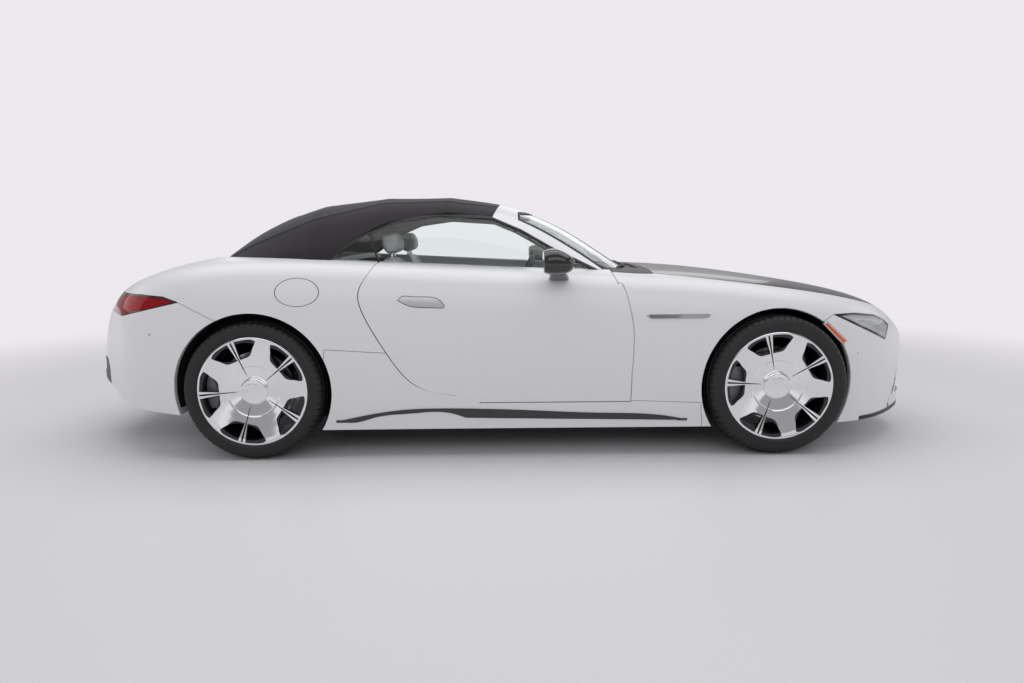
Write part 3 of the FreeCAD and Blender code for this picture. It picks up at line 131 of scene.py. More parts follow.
GREENHOUSE_STATIONS = (
    (0.366, 0.63, 0.522, 0.619, 0.689, 0.59, 0.773, 0.553),
    (0.299, 0.704, 0.543, 0.689, 0.731, 0.641, 0.794, 0.59),
    (0.221, 0.796, 0.564, 0.774, 0.731, 0.715, 0.815, 0.663),
    (0.14, 0.884, 0.564, 0.859, 0.71, 0.774, 0.836, 0.685),
    (0.043, 0.954, 0.564, 0.925, 0.689, 0.84, 0.851, 0.693),
    (-0.051, 0.991, 0.564, 0.965, 0.679, 0.884, 0.856, 0.693),
    (-0.17, 1.004, 0.564, 0.984, 0.668, 0.906, 0.856, 0.7),
    (-0.298, 0.999, 0.574, 0.965, 0.684, 0.884, 0.856, 0.707),
    (-0.425, 0.976, 0.585, 0.936, 0.71, 0.84, 0.846, 0.715),
    (-0.531, 0.921, 0.585, 0.877, 0.71, 0.789, 0.825, 0.715),
    (-0.616, 0.833, 0.564, 0.796, 0.679, 0.737, 0.773, 0.685),
    (-0.701, 0.73, 0.522, 0.7, 0.627, 0.663, 0.71, 0.626),
    (-0.765, 0.648, 0.47, 0.626, 0.574, 0.59, 0.627, 0.553),
)
ROOF_FLAT = 0.5
SKIRT = 1.02
GREENHOUSE_FLOOR = 0.35

DOOR_FRONT = ((0.241, 0.69), (0.255, 0.634), (0.266, 0.59))
DOOR_REACH = (
    (0.542, 0.237), (0.682, 0.249), (0.778, 0.275), (0.899, 0.408), (0.978, 0.543), (1.0, 0.634),
    (0.952, 0.724), (0.938, 0.8),
)
DOOR_NOSE = (
    (0.87, 0.214), (1.0, 0.33), (0.95, 0.534), (0.68, 0.59), (0.44, 0.625), (0.22, 0.646), (0.06, 0.662),
)
ROOF_EDGE = (
    (-0.005, 0.98), (-0.024, 0.918), (-0.149, 0.927), (-0.238, 0.904), (-0.295, 0.867), (-0.35, 0.814),
    (-0.412, 0.739),
)
PILLAR_EDGE = ((-0.024, 0.913), (0.042, 0.864), (0.112, 0.794), (0.187, 0.73), (0.255, 0.672))
QUARTER_WINDOW = ((-0.275, 0.718), (-0.303, 0.85), (-0.35, 0.795), (-0.398, 0.737))
DOOR_GLASS = (
    (-0.268, 0.7), (-0.297, 0.855), (-0.24, 0.896), (-0.149, 0.919), (-0.024, 0.906), (0.042, 0.857),
    (0.112, 0.787), (0.187, 0.722), (0.215, 0.69),
)
TAIL_LAMP = (
    (-0.698, 0.602), (-0.731, 0.621), (-0.782, 0.627), (-0.868, 0.628), (-1.05, 0.615), (-1.05, 0.52),
    (-0.917, 0.552), (-0.845, 0.545),
)
HEADLAMP = (
    (0.727, 0.534), (0.78, 0.535), (0.839, 0.522), (0.875, 0.498), (0.895, 0.474), (0.877, 0.421),
    (0.789, 0.486),
)
BONNET = (
    (0.336, 0.799), (0.44, 0.832), (0.6, 0.83), (0.724, 0.79), (0.81, 0.725), (0.868, 0.62),
    (0.908, 0.45), (0.93, 0.225), (0.936, 0.0),
)
BOOT_LID = (
    (-0.689, 0.65), (-0.765, 0.67), (-0.84, 0.64), (-0.9, 0.54), (-0.938, 0.38), (-0.952, 0.2),
    (-0.956, 0.0),
)
FRONT_SEAM = (
    (0.745, 0.0), (0.745, 0.3), (0.69, 0.4), (0.69, 0.5), (0.727, 0.534), (0.85, 0.48), (0.872, 0.47),
    (0.868, 0.64), (1.05, 0.64), (1.05, 0.0),
)
REAR_SEAM = (
    (-0.676, 0.0), (-0.676, 0.25), (-0.6, 0.35), (-0.6, 0.515), (-0.698, 0.602), (-0.8, 0.588),
    (-0.88, 0.59), (-0.905, 0.64), (-1.05, 0.64), (-1.05, 0.0),
)
SILL_SEAM = (
    (-0.42, 0.0), (-0.386, 0.421), (-0.254, 0.406), (-0.15, 0.255), (0.0, 0.235), (0.431, 0.205),
    (0.44, 0.0),
)
TONNEAU = ((-0.385, 0.79), (-0.5, 0.775), (-0.6, 0.72), (-0.68, 0.6), (-0.722, 0.35), (-0.735, 0.0))
COWL = ((0.24, 0.8), (0.336, 0.799), (0.35, 0.4), (0.352, 0.0))
MOUTH = ((-0.56, 0.175), (-0.5, 0.33), (0.5, 0.33), (0.56, 0.175))
SCREEN = ((-0.715, 0.69), (-0.55, 0.928), (0.55, 0.928), (0.715, 0.69))
REAR_WINDOW = ((-0.4, 0.8), (-0.34, 0.915), (0.34, 0.915), (0.4, 0.8))
VENT = (
    (0.306, 0.5405), (0.312, 0.545), (0.44, 0.545), (0.449, 0.541), (0.44, 0.53), (0.43, 0.528),
    (0.318, 0.528),
)
SILL_LEAF_TOP = (
    (-0.367, 0.144), (-0.294, 0.17), (-0.228, 0.186), (-0.118, 0.191), (0.035, 0.183), (0.211, 0.169),
    (0.365, 0.153), (0.409, 0.137),
)
SILL_LEAF_LOW = ((0.409, 0.137), (0.354, 0.1395), (0.145, 0.146), (-0.085, 0.154))
SILL_LEAF_STEP = (
    (-0.085, 0.154), (-0.116, 0.172), (-0.207, 0.1725), (-0.284, 0.158), (-0.323, 0.14), (-0.367, 0.144),
)
HANDLE = (
    (-0.2275, 0.603), (-0.221, 0.616), (-0.195, 0.618), (-0.129, 0.59), (-0.126, 0.577), (-0.14, 0.573),
    (-0.215, 0.59),
)
INTAKE_LINE = ((-0.632, 0.139), (-0.59, 0.175), (-0.556, 0.225), (-0.537, 0.268))
MARKER = ((0.699, 0.501), (0.708, 0.508), (0.757, 0.433), (0.748, 0.42))
DIFFUSER = ((-0.89, 0.0), (-0.93, 0.26), (-0.96, 0.34), (-1.05, 0.345), (-1.05, 0.0))
TAIL_LIFT = ((-0.672, 0.105), (-0.684, 0.168), (-0.89, 0.206), (-0.935, 0.236), (-1.05, 0.25))


def basis(count, at):
    """Weights of a clamped cubic spline's poles at each place."""
    knots = np.concatenate([np.zeros(3), np.arange(count - 2), np.full(3, count - 3)]).astype(float)
    at = np.clip(at, 0, count - 3 - 1e-9)[:, None]
    weights = ((knots[:-1] <= at) & (at < knots[1:])).astype(float)
    for degree in (1, 2, 3):
        rise = knots[degree:-1] - knots[:-degree - 1]
        fall = knots[degree + 1:] - knots[1:-degree]
        left = (at - knots[:-degree - 1]) / np.where(rise == 0, 1, rise) * (rise != 0)
        right = (knots[degree + 1:] - at) / np.where(fall == 0, 1, fall) * (fall != 0)
        weights = left * weights[:, :-1] + right * weights[:, 1:]
    return weights


def spline_surface(poles):
    """A function from places on the surface to points."""
    poles = np.array(poles, float)

    def evaluate(places):
        rows = basis(poles.shape[0], places[:, 0])
        columns = basis(poles.shape[1], places[:, 1])
        return np.einsum("nj,njk->nk", columns, np.einsum("ni,ijk->njk", rows, poles))

    return evaluate


def even_places(evaluate, low, high, other, along, step):
    """Places between low and high that are a step apart on the surface, on average."""
    fine = np.linspace(low, high, 400)
    lengths = np.zeros(len(fine) - 1)
    for fixed in other:
        pair = (fine, np.full(len(fine), fixed)) if along == 0 else (np.full(len(fine), fixed), fine)
        points = evaluate(np.stack(pair, 1))
        lengths = np.maximum(lengths, np.linalg.norm(np.diff(points, axis=0), axis=1))
    total = np.concatenate([[0], np.cumsum(lengths)])
    count = int(total[-1] / step) + 2
    return np.interp(np.linspace(0, total[-1], count), total, fine)


def smooth(points, each=14):
    """A smooth line through points, its bends natural at the ends."""
    points = np.array(points, float)
    steps = np.linalg.norm(np.diff(points, axis=0), axis=1)
    at = np.concatenate([[0], np.cumsum(steps)])
    count = len(points)
    system = np.eye(count)
    target = np.zeros_like(points)
    for i in range(1, count - 1):
        system[i, i - 1:i + 2] = steps[i - 1], 2 * (steps[i - 1] + steps[i]), steps[i]
        target[i] = 6 * ((points[i + 1] - points[i]) / steps[i] - (points[i] - points[i - 1]) / steps[i - 1])
    bend = np.linalg.solve(system, target)
    line = []
    for i in range(count - 1):
        t = np.linspace(0, steps[i], each, endpoint=False)[:, None]
        h = steps[i]
        line.append(bend[i] * (h - t) ** 3 / (6 * h) + bend[i + 1] * t ** 3 / (6 * h)
                    + (points[i] / h - bend[i] * h / 6) * (h - t)
                    + (points[i + 1] / h - bend[i + 1] * h / 6) * t)
    return np.concatenate(line + [points[-1:]])


def line_distance(starts, ends, flat):
    """Distance of flat points to the nearest of straight runs."""
    nearest = np.full(len(flat), 1e9)
    for a, b in zip(starts, ends):
        run = b - a
        along = np.clip(((flat - a) @ run) / max(run @ run, 1e-12), 0, 1)
        nearest = np.minimum(nearest, np.linalg.norm(flat - a - along[:, None] * run, axis=1))
    return nearest


def outline_distance(outline, flat):
    """Signed distance of flat points to a closed outline, negative inside."""
    outline = np.asarray(outline, float)
    ends = np.roll(outline, -1, axis=0)
    inside = np.zeros(len(flat), bool)
    for a, b in zip(outline, ends):
        if a[1] != b[1]:
            crosses = (a[1] > flat[:, 1]) != (b[1] > flat[:, 1])
            inside ^= crosses & (flat[:, 0] < (b - a)[0] * (flat[:, 1] - a[1]) / (b - a)[1] + a[0])
    return line_distance(outline, ends, flat) * np.where(inside, -1, 1)


def side(shares):
    """Side view shares in metres."""
    return np.multiply(shares, (HALF_LENGTH, ROOF))


def top(shares):
    """Top view shares in metres."""
    return np.multiply(shares, (HALF_LENGTH, HALF_WIDTH))


def front(shares):
    """Front view shares in metres."""
    return np.multiply(shares, (HALF_WIDTH, ROOF))


def both(points):
    """A line up to the middle of the car and back along its mirror image."""
    return np.concatenate([points, points[-2::-1] * (1, -1)])


def field(outline, first, second):
    """A field over the body's points from an outline in two of their directions."""
    return lambda p: outline_distance(outline, p[:, (first, second)])


def line_field(line, first, second):
    """A field of the distance to an open line in two of the body's directions."""
    return lambda p: line_distance(line[:-1], line[1:], p[:, (first, second)])


def polar_field(outline):
    """A field about the door's hinge line, from an outline of distance and height."""
    def distance(p):
        flat = np.stack([np.hypot(p[:, 0] - HINGE_X, p[:, 1] + HINGE_OUT), p[:, 2]], 1)
        return outline_distance(outline, flat)
    return distance


class Skin:
    """A surface as cells, which is split along fields and dealt out to panels."""

    def __init__(self, evaluate, u, v):
        self.evaluate = evaluate
        self.places = np.stack(np.meshgrid(u, v, indexing="ij"), -1).reshape(-1, 2)
        self.points = evaluate(self.places)
        corner = np.arange(len(u) * len(v)).reshape(len(u), len(v))
        cells = [corner[:-1, :-1], corner[1:, :-1], corner[1:, 1:], corner[:-1, 1:]]
        self.quads = np.stack(cells, -1).reshape(-1, 4)
        self.triangles = np.zeros((0, 3), int)

    def split(self, distance, level=0.0):
        """Cut the cells that a level of a distance runs through."""
        values = distance(self.points) - level
        values = np.where(np.abs(values) < SNAP, 0.0, values)
        mixed = (values[self.quads].max(1) > 0) & (values[self.quads].min(1) < 0)
        opened = self.quads[mixed]
        self.quads = self.quads[~mixed]
        cells = np.concatenate([self.triangles, opened[:, [0, 1, 2]], opened[:, [0, 2, 3]]])
        signs = np.sign(values[cells]).astype(int)
        mixed = (signs.max(1) > 0) & (signs.min(1) < 0)
        kept = cells[~mixed]
        cells = cells[mixed]
        signs = signs[mixed]
        total = signs.sum(1)
        odd = np.where(total[:, None] == 0, signs == 0, signs == -total[:, None]).argmax(1)
        cells = np.take_along_axis(cells, (odd[:, None] + np.arange(3)) % 3, 1)
        plain = total != 0
        a, b, c = cells[plain].T
        d, e, f = cells[~plain].T
        edges = np.concatenate([np.stack([a, b], 1), np.stack([a, c], 1), np.stack([e, f], 1)])
        edges.sort(1)
        if len(edges) == 0:
            self.triangles = kept
            return
        unique, back = np.unique(edges, axis=0, return_inverse=True)
        back = back.ravel() + len(self.points)
        share = values[unique[:, 0]] / (values[unique[:, 0]] - values[unique[:, 1]])
        ends = self.places[unique]
        places = ends[:, 0] * (1 - share[:, None]) + ends[:, 1] * share[:, None]
        self.places = np.concatenate([self.places, places])
        self.points = np.concatenate([self.points, self.evaluate(places)])
        p, q, r = np.split(back, [len(a), 2 * len(a)])
        made = [(a, p, q), (p, b, c), (p, c, q), (d, e, r), (d, r, f)]
        self.triangles = np.concatenate([kept] + [np.stack(triple, 1) for triple in made])

    def middles(self):
        """Middles of the cells, squares first."""
        return np.concatenate([self.points[self.quads].mean(1), self.points[self.triangles].mean(1)])

    def normals(self, places):
        """Outward directions at places."""
        h = 1e-3
        ends = []
        for along in (0, 1):
            shift = np.zeros(2)
            shift[along] = h
            ends.append(self.evaluate(places + shift) - self.evaluate(places - shift))
        across = np.cross(ends[0], ends[1])
        return across / np.maximum(np.linalg.norm(across, axis=1), 1e-12)[:, None]

    def part(self, chosen):
        """Places, points and faces of the chosen cells."""
        count = len(self.quads)
        quads = self.quads[chosen[:count]]
        triangles = self.triangles[chosen[count:]]
        faces = [tuple(face) for face in quads] + [tuple(face) for face in triangles]
        used = np.unique(np.concatenate([quads.ravel(), triangles.ravel()]))
        new = np.full(len(self.points), -1)
        new[used] = np.arange(len(used))
        return self.places[used], self.points[used], [tuple(new[list(f)]) for f in faces]


def cut_up(skin, cuts):
    """Split a skin along fields at their levels; give its cells' middles and their distances."""
    for distance, levels in cuts.values():
        for level in levels:
            skin.split(distance, level)
    middles = skin.middles()
    away = {key: distance(middles) for key, (distance, levels) in cuts.items()}
    return middles, SimpleNamespace(**away)


def whole_row(row):
    """A row of poles from the left edge over the middle to the right edge."""
    return [(x, -y, z) for x, y, z in reversed(row[1:])] + row


def skin_of(poles, cell, along, around):
    """The right half of a spline surface as a skin, its cells measured at shares of it."""
    surface = spline_surface(poles)
    u_end = len(poles) - 3
    v_end = len(poles[0]) - 3
    u = even_places(surface, 0, u_end, [v_end * share for share in around], 0, cell)
    v = even_places(surface, v_end / 2, v_end, [u_end * share for share in along], 1, cell)
    return Skin(surface, u, v)


slot_of = {}
finish_of = {}


def make_object(name, points, faces, material, body="root", slot=None, sharp=35):
    """A shaded mesh piece that rides on a body; its slot is looked up but not set."""
    mesh = bpy.data.meshes.new(name)
    mesh.from_pydata([tuple(p) for p in points], [], [tuple(int(i) for i in f) for f in faces])
    mesh.validate()
    mesh.shade_smooth()
    mesh.set_sharp_from_angle(angle=math.radians(sharp))
    piece = bpy.data.objects.new(name, mesh)
    bpy.context.scene.collection.objects.link(piece)
    mesh.materials.append(material)
    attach(piece, body)
    slot or slot_of[material.name]
    return piece


def flipped(faces):
    """The same faces, turned over."""
    return [face[::-1] for face in faces]


def facing_out(skin, chosen):
    """Points, outward directions and faces of a skin's chosen cells."""
    places, points, faces = skin.part(chosen)
    normals = skin.normals(places)
    if (normals * (points - CORE))[:, 1:].sum() < 0:
        return points, -normals, flipped(faces)
    return points, normals, faces


def open_edges(faces):
    """Edges that only one face uses, in that face's order."""
    seen = {}
    for face in faces:
        for a, b in zip(face, face[1:] + face[:1]):
            key = (min(a, b), max(a, b))
            seen[key] = None if key in seen else (a, b)
    return [edge for edge in seen.values() if edge]


def outer_edges(points, faces, sides):
    """Open edges of a panel, without those where its halves meet at the middle."""
    edges = open_edges(faces)
    if sides == "across":
        edges = [(a, b) for a, b in edges if max(abs(points[a][1]), abs(points[b][1])) > 1e-5]
    return edges


def hemmed(points, faces, edges, shift, turned=False):
    """Add a strip of faces from open edges to copies of their points, moved by a shift."""
    ring = sorted({i for edge in edges for i in edge})
    new = {i: len(points) + n for n, i in enumerate(ring)}
    strip = [(a, b, new[b], new[a]) if turned else (b, a, new[a], new[b]) for a, b in edges]
    return np.concatenate([points, points[ring] + shift[ring]]), list(faces) + strip


def paired(name, points, faces, material, body, slot, sides):
    """Make a right-hand mesh on the right, the left, both sides or joined across the middle."""
    mirrored = points * (1, -1, 1)
    if sides == "across":
        on_middle = np.abs(points[:, 1]) < 1e-4
        points[on_middle, 1] = 0
        index = np.arange(len(points)) + np.where(on_middle, 0, len(points))
        faces = faces + [tuple(index[list(face)]) for face in flipped(faces)]
        return [make_object(name, np.concatenate([points, mirrored]), faces, material, body, slot)]
    made = []
    for side_name, shape, turned in (("right", points, faces), ("left", mirrored, flipped(faces))):
        if sides in ("both", side_name):
            tail = "_" + side_name if sides == "both" else ""
            carrier = body.replace("SIDE", side_name)
            made.append(make_object(name + tail, shape, turned, material, carrier, slot))
    return made


def panel(skin, name, chosen, material, sides="both", lift=0.0006, depth=0.012, body="root", slot=None):
    """A sheet of a skin with a hem turned in round its edge."""
    points, normals, faces = facing_out(skin, chosen)
    points = points + normals * lift
    edges = outer_edges(points, faces, sides)
    return paired(name, *hemmed(points, faces, edges, -normals * depth), material, body, slot, sides)


def plate(skin, name, chosen, material, sides, lift, thick, shape=None, body="root", slot=None):
    """A closed plate that follows a skin: outer face, back face and edge."""
    points, normals, faces = facing_out(skin, chosen)
    outer = points + normals * lift
    if shape:
        outer = outer + normals * shape(points)[:, None]
    count = len(points)
    whole = list(faces) + [tuple(i + count for i in face) for face in flipped(faces)]
    whole += [(b, a, a + count, b + count) for a, b in outer_edges(points, faces, sides)]
    points = np.concatenate([outer, points - normals * thick])
    return paired(name, points, whole, material, body, slot, sides)


def recess(skin, name, chosen, material, deep, inset=0.001):
    """A bowl under a skin: its floor lies deep and its walls rise to the skin."""
    points, normals, faces = facing_out(skin, chosen)
    rise = normals * (deep - inset)
    points, faces = hemmed(points - normals * deep, faces, open_edges(faces), rise, turned=True)
    return paired(name, points, faces, material, "root", None, "both")


def turned_rings(profile, turns):
    """Points and faces of a profile of reach and depth, turned about the wheel's axle."""
    profile = np.array(profile)
    count = len(profile)
    turns = np.array(turns)
    x = np.outer(np.cos(turns), profile[:, 0]).ravel()
    z = np.outer(np.sin(turns), profile[:, 0]).ravel()
    y = np.tile(-profile[:, 1], len(turns))
    faces = []
    for i in range(len(turns)):
        j = (i + 1) % len(turns)
        for k in range(count - 1):
            faces.append((i * count + k, j * count + k, j * count + k + 1, i * count + k + 1))
    return np.stack([x, y, z], 1), faces


def welded(points, faces):
    """Join points that lie on each other and drop the faces that this closes."""
    keys, back = np.unique(np.round(points / 1e-5).astype(int), axis=0, return_inverse=True)
    back = back.ravel()
    kept = []
    for face in faces:
        ring = []
        for i in face:
            if back[i] not in ring:
                ring.append(int(back[i]))
        if len(ring) > 2:
            kept.append(tuple(ring))
    return keys * 1e-5, kept


# Materials
def fill(tree, node, inputs):
    """Link each input that is given a socket, and set any other value on it."""
    for key, value in inputs.items():
        if isinstance(value, bpy.types.NodeSocket):
            tree.links.new(value, node.inputs[key])
        else:
            node.inputs[key].default_value = value


def add_node(tree, kind, inputs, **settings):
    """A shader node with its settings and inputs."""
    node = tree.nodes.new("ShaderNode" + kind)
    for key, value in settings.items():
        setattr(node, key, value)
    fill(tree, node, inputs)
    return node


def look(name, slot, color, rough, size, bump, metal=0.0, stretch=(1, 1, 1), vary=0.0, rough_vary=0.0,
         detail=3.0, cells=False, **sockets):
    """A material with plain shader values, and grain in its bump, colour and roughness.

    The first one of a slot also finishes the CAD nodes of that slot.
    """
    material = bpy.data.materials.new(name)
    material.use_nodes = True
    slot_of[material.name] = slot
    finish_of.setdefault(slot, material)
    tree = material.node_tree
    base = tree.nodes["Principled BSDF"]
    fill(tree, base, {"Base Color": (*color, 1), "Roughness": rough, "Metallic": metal})
    fill(tree, base, {key.replace("_", " "): value for key, value in sockets.items()})
    place = add_node(tree, "TexCoord", {}).outputs["Object"]
    scale = [k / size for k in stretch]
    place = add_node(tree, "Mapping", {"Scale": scale, "Vector": place}).outputs["Vector"]
    if cells:
        grain = add_node(tree, "TexVoronoi", {"Scale": 1.0, "Vector": place}).outputs["Distance"]
    else:
        grain = add_node(tree, "TexNoise", {"Detail": detail, "Scale": 1.0, "Vector": place}).outputs["Fac"]
    if bump:
        relief = add_node(tree, "Bump", {"Strength": bump, "Distance": size * 0.5, "Height": grain})
        fill(tree, base, {"Normal": relief.outputs["Normal"]})
    if vary:
        ramp = add_node(tree, "MapRange", {"To Min": 1 - vary, "To Max": 1 + vary, "Value": grain})
        tint = add_node(tree, "VectorMath", {0: color, "Scale": ramp.outputs["Result"]}, operation="SCALE")
        fill(tree, base, {"Base Color": tint.outputs["Vector"]})
    if rough_vary:
        ramp = add_node(tree, "MapRange", {"To Min": max(0.02, rough - rough_vary),
                                           "To Max": min(1.0, rough + rough_vary), "Value": grain})
        fill(tree, base, {"Roughness": ramp.outputs["Result"]})
    return material


paint = look("white_paint", "body_paint", (0.8, 0.8, 0.82), 0.34, 0.0015, 0.02, rough_vary=0.03,
             Coat_Weight=0.25, Coat_Roughness=0.25)
bonnet_paint = look("bonnet_paint", "bonnet_paint", (0.028, 0.025, 0.03), 0.3, 0.0012, 0.03, metal=0.3,
                    vary=0.15, Coat_Weight=0.6, Coat_Roughness=0.12)
black_gloss = look("black_gloss", "gloss_black", (0.012, 0.012, 0.013), 0.1, 0.02, 0.0, rough_vary=0.03,
                   Coat_Weight=0.5)
black_trim = look("black_trim", "dark_trim", (0.01, 0.01, 0.011), 0.45, 0.0012, 0.15, rough_vary=0.08)
# Seal rubber; also the dark rings of painted gap shade round the door handle and the fuel flap
seal_rubber_and_gap_shade = look("seal_rubber_and_gap_shade", "dark_trim", (0.005, 0.005, 0.006), 0.5, 0.0015, 0.12,
                   rough_vary=0.08)
look("under_dark", "underbody", (0.012, 0.012, 0.013), 0.75, 0.004, 0.25, vary=0.3)
chrome = look("chrome", "bright_trim", (0.82, 0.82, 0.84), 0.1, 0.01, 0.0, metal=1.0, rough_vary=0.04)
glass = look("car_glass", "glass", (0.95, 0.99, 0.975), 0.02, 0.3, 0.0, rough_vary=0.01,
             Transmission_Weight=1.0, IOR=1.3)
rubber = look("tyre_rubber", "tyre_rubber", (0.011, 0.011, 0.012), 0.58, 0.002, 0.2, vary=0.15,
              rough_vary=0.08)
polished = look("polished_metal", "wheel_metal", (0.84, 0.84, 0.86), 0.07, 0.05, 0.0, metal=1.0,
                stretch=(1, 0.2, 1), rough_vary=0.03)
dark_barrel = look("dark_barrel", "wheel_metal", (0.05, 0.05, 0.055), 0.4, 0.004, 0.1, metal=0.8,
                   rough_vary=0.1)
steel = look("brushed_steel", "steel", (0.45, 0.45, 0.46), 0.32, 0.004, 0.08, metal=1.0, rough_vary=0.1)
look("cast_metal", "cast_metal", (0.22, 0.22, 0.23), 0.5, 0.003, 0.3, metal=0.8, rough_vary=0.1)
leather = look("pale_leather", "seat_leather", (0.62, 0.63, 0.63), 0.48, 0.0022, 0.3, vary=0.05,
               cells=True)
cabin_trim = look("cabin_trim", "cabin_trim", (0.035, 0.035, 0.038), 0.55, 0.0018, 0.25, vary=0.15,
                  cells=True)
red_lens = look("red_lens", "tail_lens", (0.42, 0.012, 0.018), 0.12, 0.012, 0.25, stretch=(1, 1, 3),
                vary=0.35, Coat_Weight=0.6)
clear_lens = look("clear_lens", "headlamp_lens", (0.8, 0.82, 0.84), 0.05, 0.05, 0.0, rough_vary=0.02,
                  Transmission_Weight=0.6, IOR=1.3)
amber_lens = look("amber_lens", "headlamp_lens", (0.7, 0.12, 0.01), 0.15, 0.006, 0.3, vary=0.2,
                  Coat_Weight=0.5)
lamp_dark = look("lamp_dark", "headlamp_lens", (0.1, 0.1, 0.11), 0.25, 0.006, 0.15, metal=0.8,
                 rough_vary=0.08)
light_guide = look("light_guide", "headlamp_lens", (0.85, 0.86, 0.88), 0.25, 0.004, 0.1, rough_vary=0.05,
                   Coat_Weight=0.4)
red_glass = look("red_glass", "tail_lens", (0.62, 0.02, 0.03), 0.04, 0.05, 0.0, rough_vary=0.02,
                 Transmission_Weight=0.7, IOR=1.3)
red_bright = look("red_bright", "tail_lens", (0.8, 0.05, 0.05), 0.2, 0.004, 0.1, rough_vary=0.05,
                  Coat_Weight=0.4)
satin = look("satin_handle", "bright_trim", (0.6, 0.6, 0.62), 0.22, 0.002, 0.05, metal=0.6,
             rough_vary=0.05)
mirror_glass = look("mirror_glass", "gloss_black", (0.8, 0.83, 0.85), 0.03, 0.05, 0.0, metal=1.0,
                    rough_vary=0.01)
fabric = look("roof_fabric", "roof_fabric", (0.017, 0.013, 0.018), 0.88, 0.0022, 0.55, vary=0.35,
              detail=1.0, Sheen_Weight=0.12, Sheen_Roughness=0.5)
lining_cloth = look("roof_lining", "roof_fabric", (0.1, 0.1, 0.105), 0.9, 0.0015, 0.3, vary=0.15,
                    Sheen_Weight=0.2)
for part in frame["record"]["subparts"]:
    mesh = nodes[part["node"]].data
    mesh.materials.clear()
    mesh.materials.append(finish_of[part["material_slot"]])

# Camera, as fitted to the photo's turntable and wheels
FOCAL_SHARE = 757.8 / 1024
SENSOR = 36.0
CAMERA_PLACE = (-0.004, -4.754, 1.139)
YAW, PITCH, ROLL = [math.radians(v) for v in (0.68, 7.954, -0.364)]
camera_data = bpy.data.cameras.new("camera")
camera = bpy.data.objects.new("camera", camera_data)
bpy.context.scene.collection.objects.link(camera)
bpy.context.scene.camera = camera
camera_data.sensor_width = SENSOR
camera_data.lens = FOCAL_SHARE * SENSOR
forward = Vector((math.sin(YAW) * math.cos(PITCH), math.cos(YAW) * math.cos(PITCH), -math.sin(PITCH)))
right = Vector((math.cos(YAW), -math.sin(YAW), 0))
up = right.cross(forward)
axes = (right * math.cos(ROLL) + up * math.sin(ROLL), up * math.cos(ROLL) - right * math.sin(ROLL), -forward)
camera.matrix_world = Matrix.Translation(CAMERA_PLACE) @ Matrix(axes).transposed().to_4x4()

# Backdrop, floor and light
HAZE = (0.84, 0.82, 0.85, 1)
bpy.context.scene.view_settings.view_transform = "Standard"
world = bpy.data.worlds.new("studio")
bpy.context.scene.world = world
world.use_nodes = True
tree = world.node_tree
backdrop = tree.nodes["Background"]
fill(tree, backdrop, {"Color": (0.8, 0.79, 0.81, 1), "Strength": 0.42})
sky = add_node(tree, "Background", {"Color": HAZE, "Strength": 1.0})
rays = add_node(tree, "LightPath", {}).outputs
seen = add_node(tree, "Math", {0: rays["Is Camera Ray"], 1: rays["Is Transmission Ray"]},
                operation="MAXIMUM")
blend = add_node(tree, "MixShader", {0: seen.outputs[0], 1: backdrop.outputs[0], 2: sky.outputs[0]})
fill(tree, tree.nodes["World Output"], {"Surface": blend.outputs[0]})

FLOOR_REACH = 30
FLOOR_FADE = (3.2, 7.0)
floor_mesh = bpy.data.meshes.new("floor")
corners = [(x * FLOOR_REACH, y * FLOOR_REACH, 0) for x, y in ((-1, -1), (1, -1), (1, 1), (-1, 1))]
floor_mesh.from_pydata(corners, [], [(0, 1, 2, 3)])
floor = bpy.data.objects.new("floor", floor_mesh)
bpy.context.scene.collection.objects.link(floor)
floor_look = look("pale_floor", "floor", (0.78, 0.77, 0.79), 0.5, 0.6, 0.0, rough_vary=0.04)
floor_mesh.materials.append(floor_look)
tree = floor_look.node_tree
where = add_node(tree, "NewGeometry", {}).outputs["Position"]
away = add_node(tree, "VectorMath", {0: where}, operation="LENGTH").outputs["Value"]
fade = add_node(tree, "MapRange", {"From Min": FLOOR_FADE[0], "From Max": FLOOR_FADE[1], "Value": away},
                interpolation_type="SMOOTHSTEP").outputs["Result"]
glow = add_node(tree, "Emission", {"Color": HAZE}).outputs[0]
melt = add_node(tree, "MixShader", {0: fade, 1: tree.nodes["Principled BSDF"].outputs[0], 2: glow})
fill(tree, tree.nodes["Material Output"], {"Surface": melt.outputs[0]})

LAMPS = (
    ("top_light", (0, 0, 5.0), (0, 0, 0), (9, 5), 190),
    ("near_light", (0, -6.5, 3.4), (0, 0, 0.5), (9, 2.5), 72),
    ("far_light", (0, 6.5, 3.4), (0, 0, 0.5), (9, 2.5), 62),
    ("nose_light", (7, 0, 2.6), (0, 0, 0.6), (5, 3), 40),
    ("tail_light", (-7, 0, 2.6), (0, 0, 0.6), (5, 3), 40),
)
for name, place, aim, size, power in LAMPS:
    data = bpy.data.lights.new(name, "AREA")
    data.shape = "RECTANGLE"
    data.size, data.size_y = size
    data.energy = power
    light = bpy.data.objects.new(name, data)
    bpy.context.scene.collection.objects.link(light)
    light.location = place
    light.rotation_mode = "QUATERNION"
    light.rotation_quaternion = (Vector(aim) - Vector(place)).to_track_quat("-Z", "Y")


# Body skin: the right half, from the middle line to the floor edge
poles = []
for middle, flank_place, top_share, shoulder, flank_share in BODY_STATIONS:
    row = []
    for across, rise, crown in BODY_SECTION:
        x = (flank_place + (middle - flank_place) * crown) * HALF_LENGTH
        z = FLOOR + (shoulder * ROOF - FLOOR) * rise + (top_share - shoulder) * ROOF * crown
        row.append((x, -flank_share * HALF_WIDTH * across, z))
    poles.append(whole_row(row))
bodywork = skin_of(poles, CELL, (0.3, 0.5, 0.7), (0.5, 0.7, 0.85))

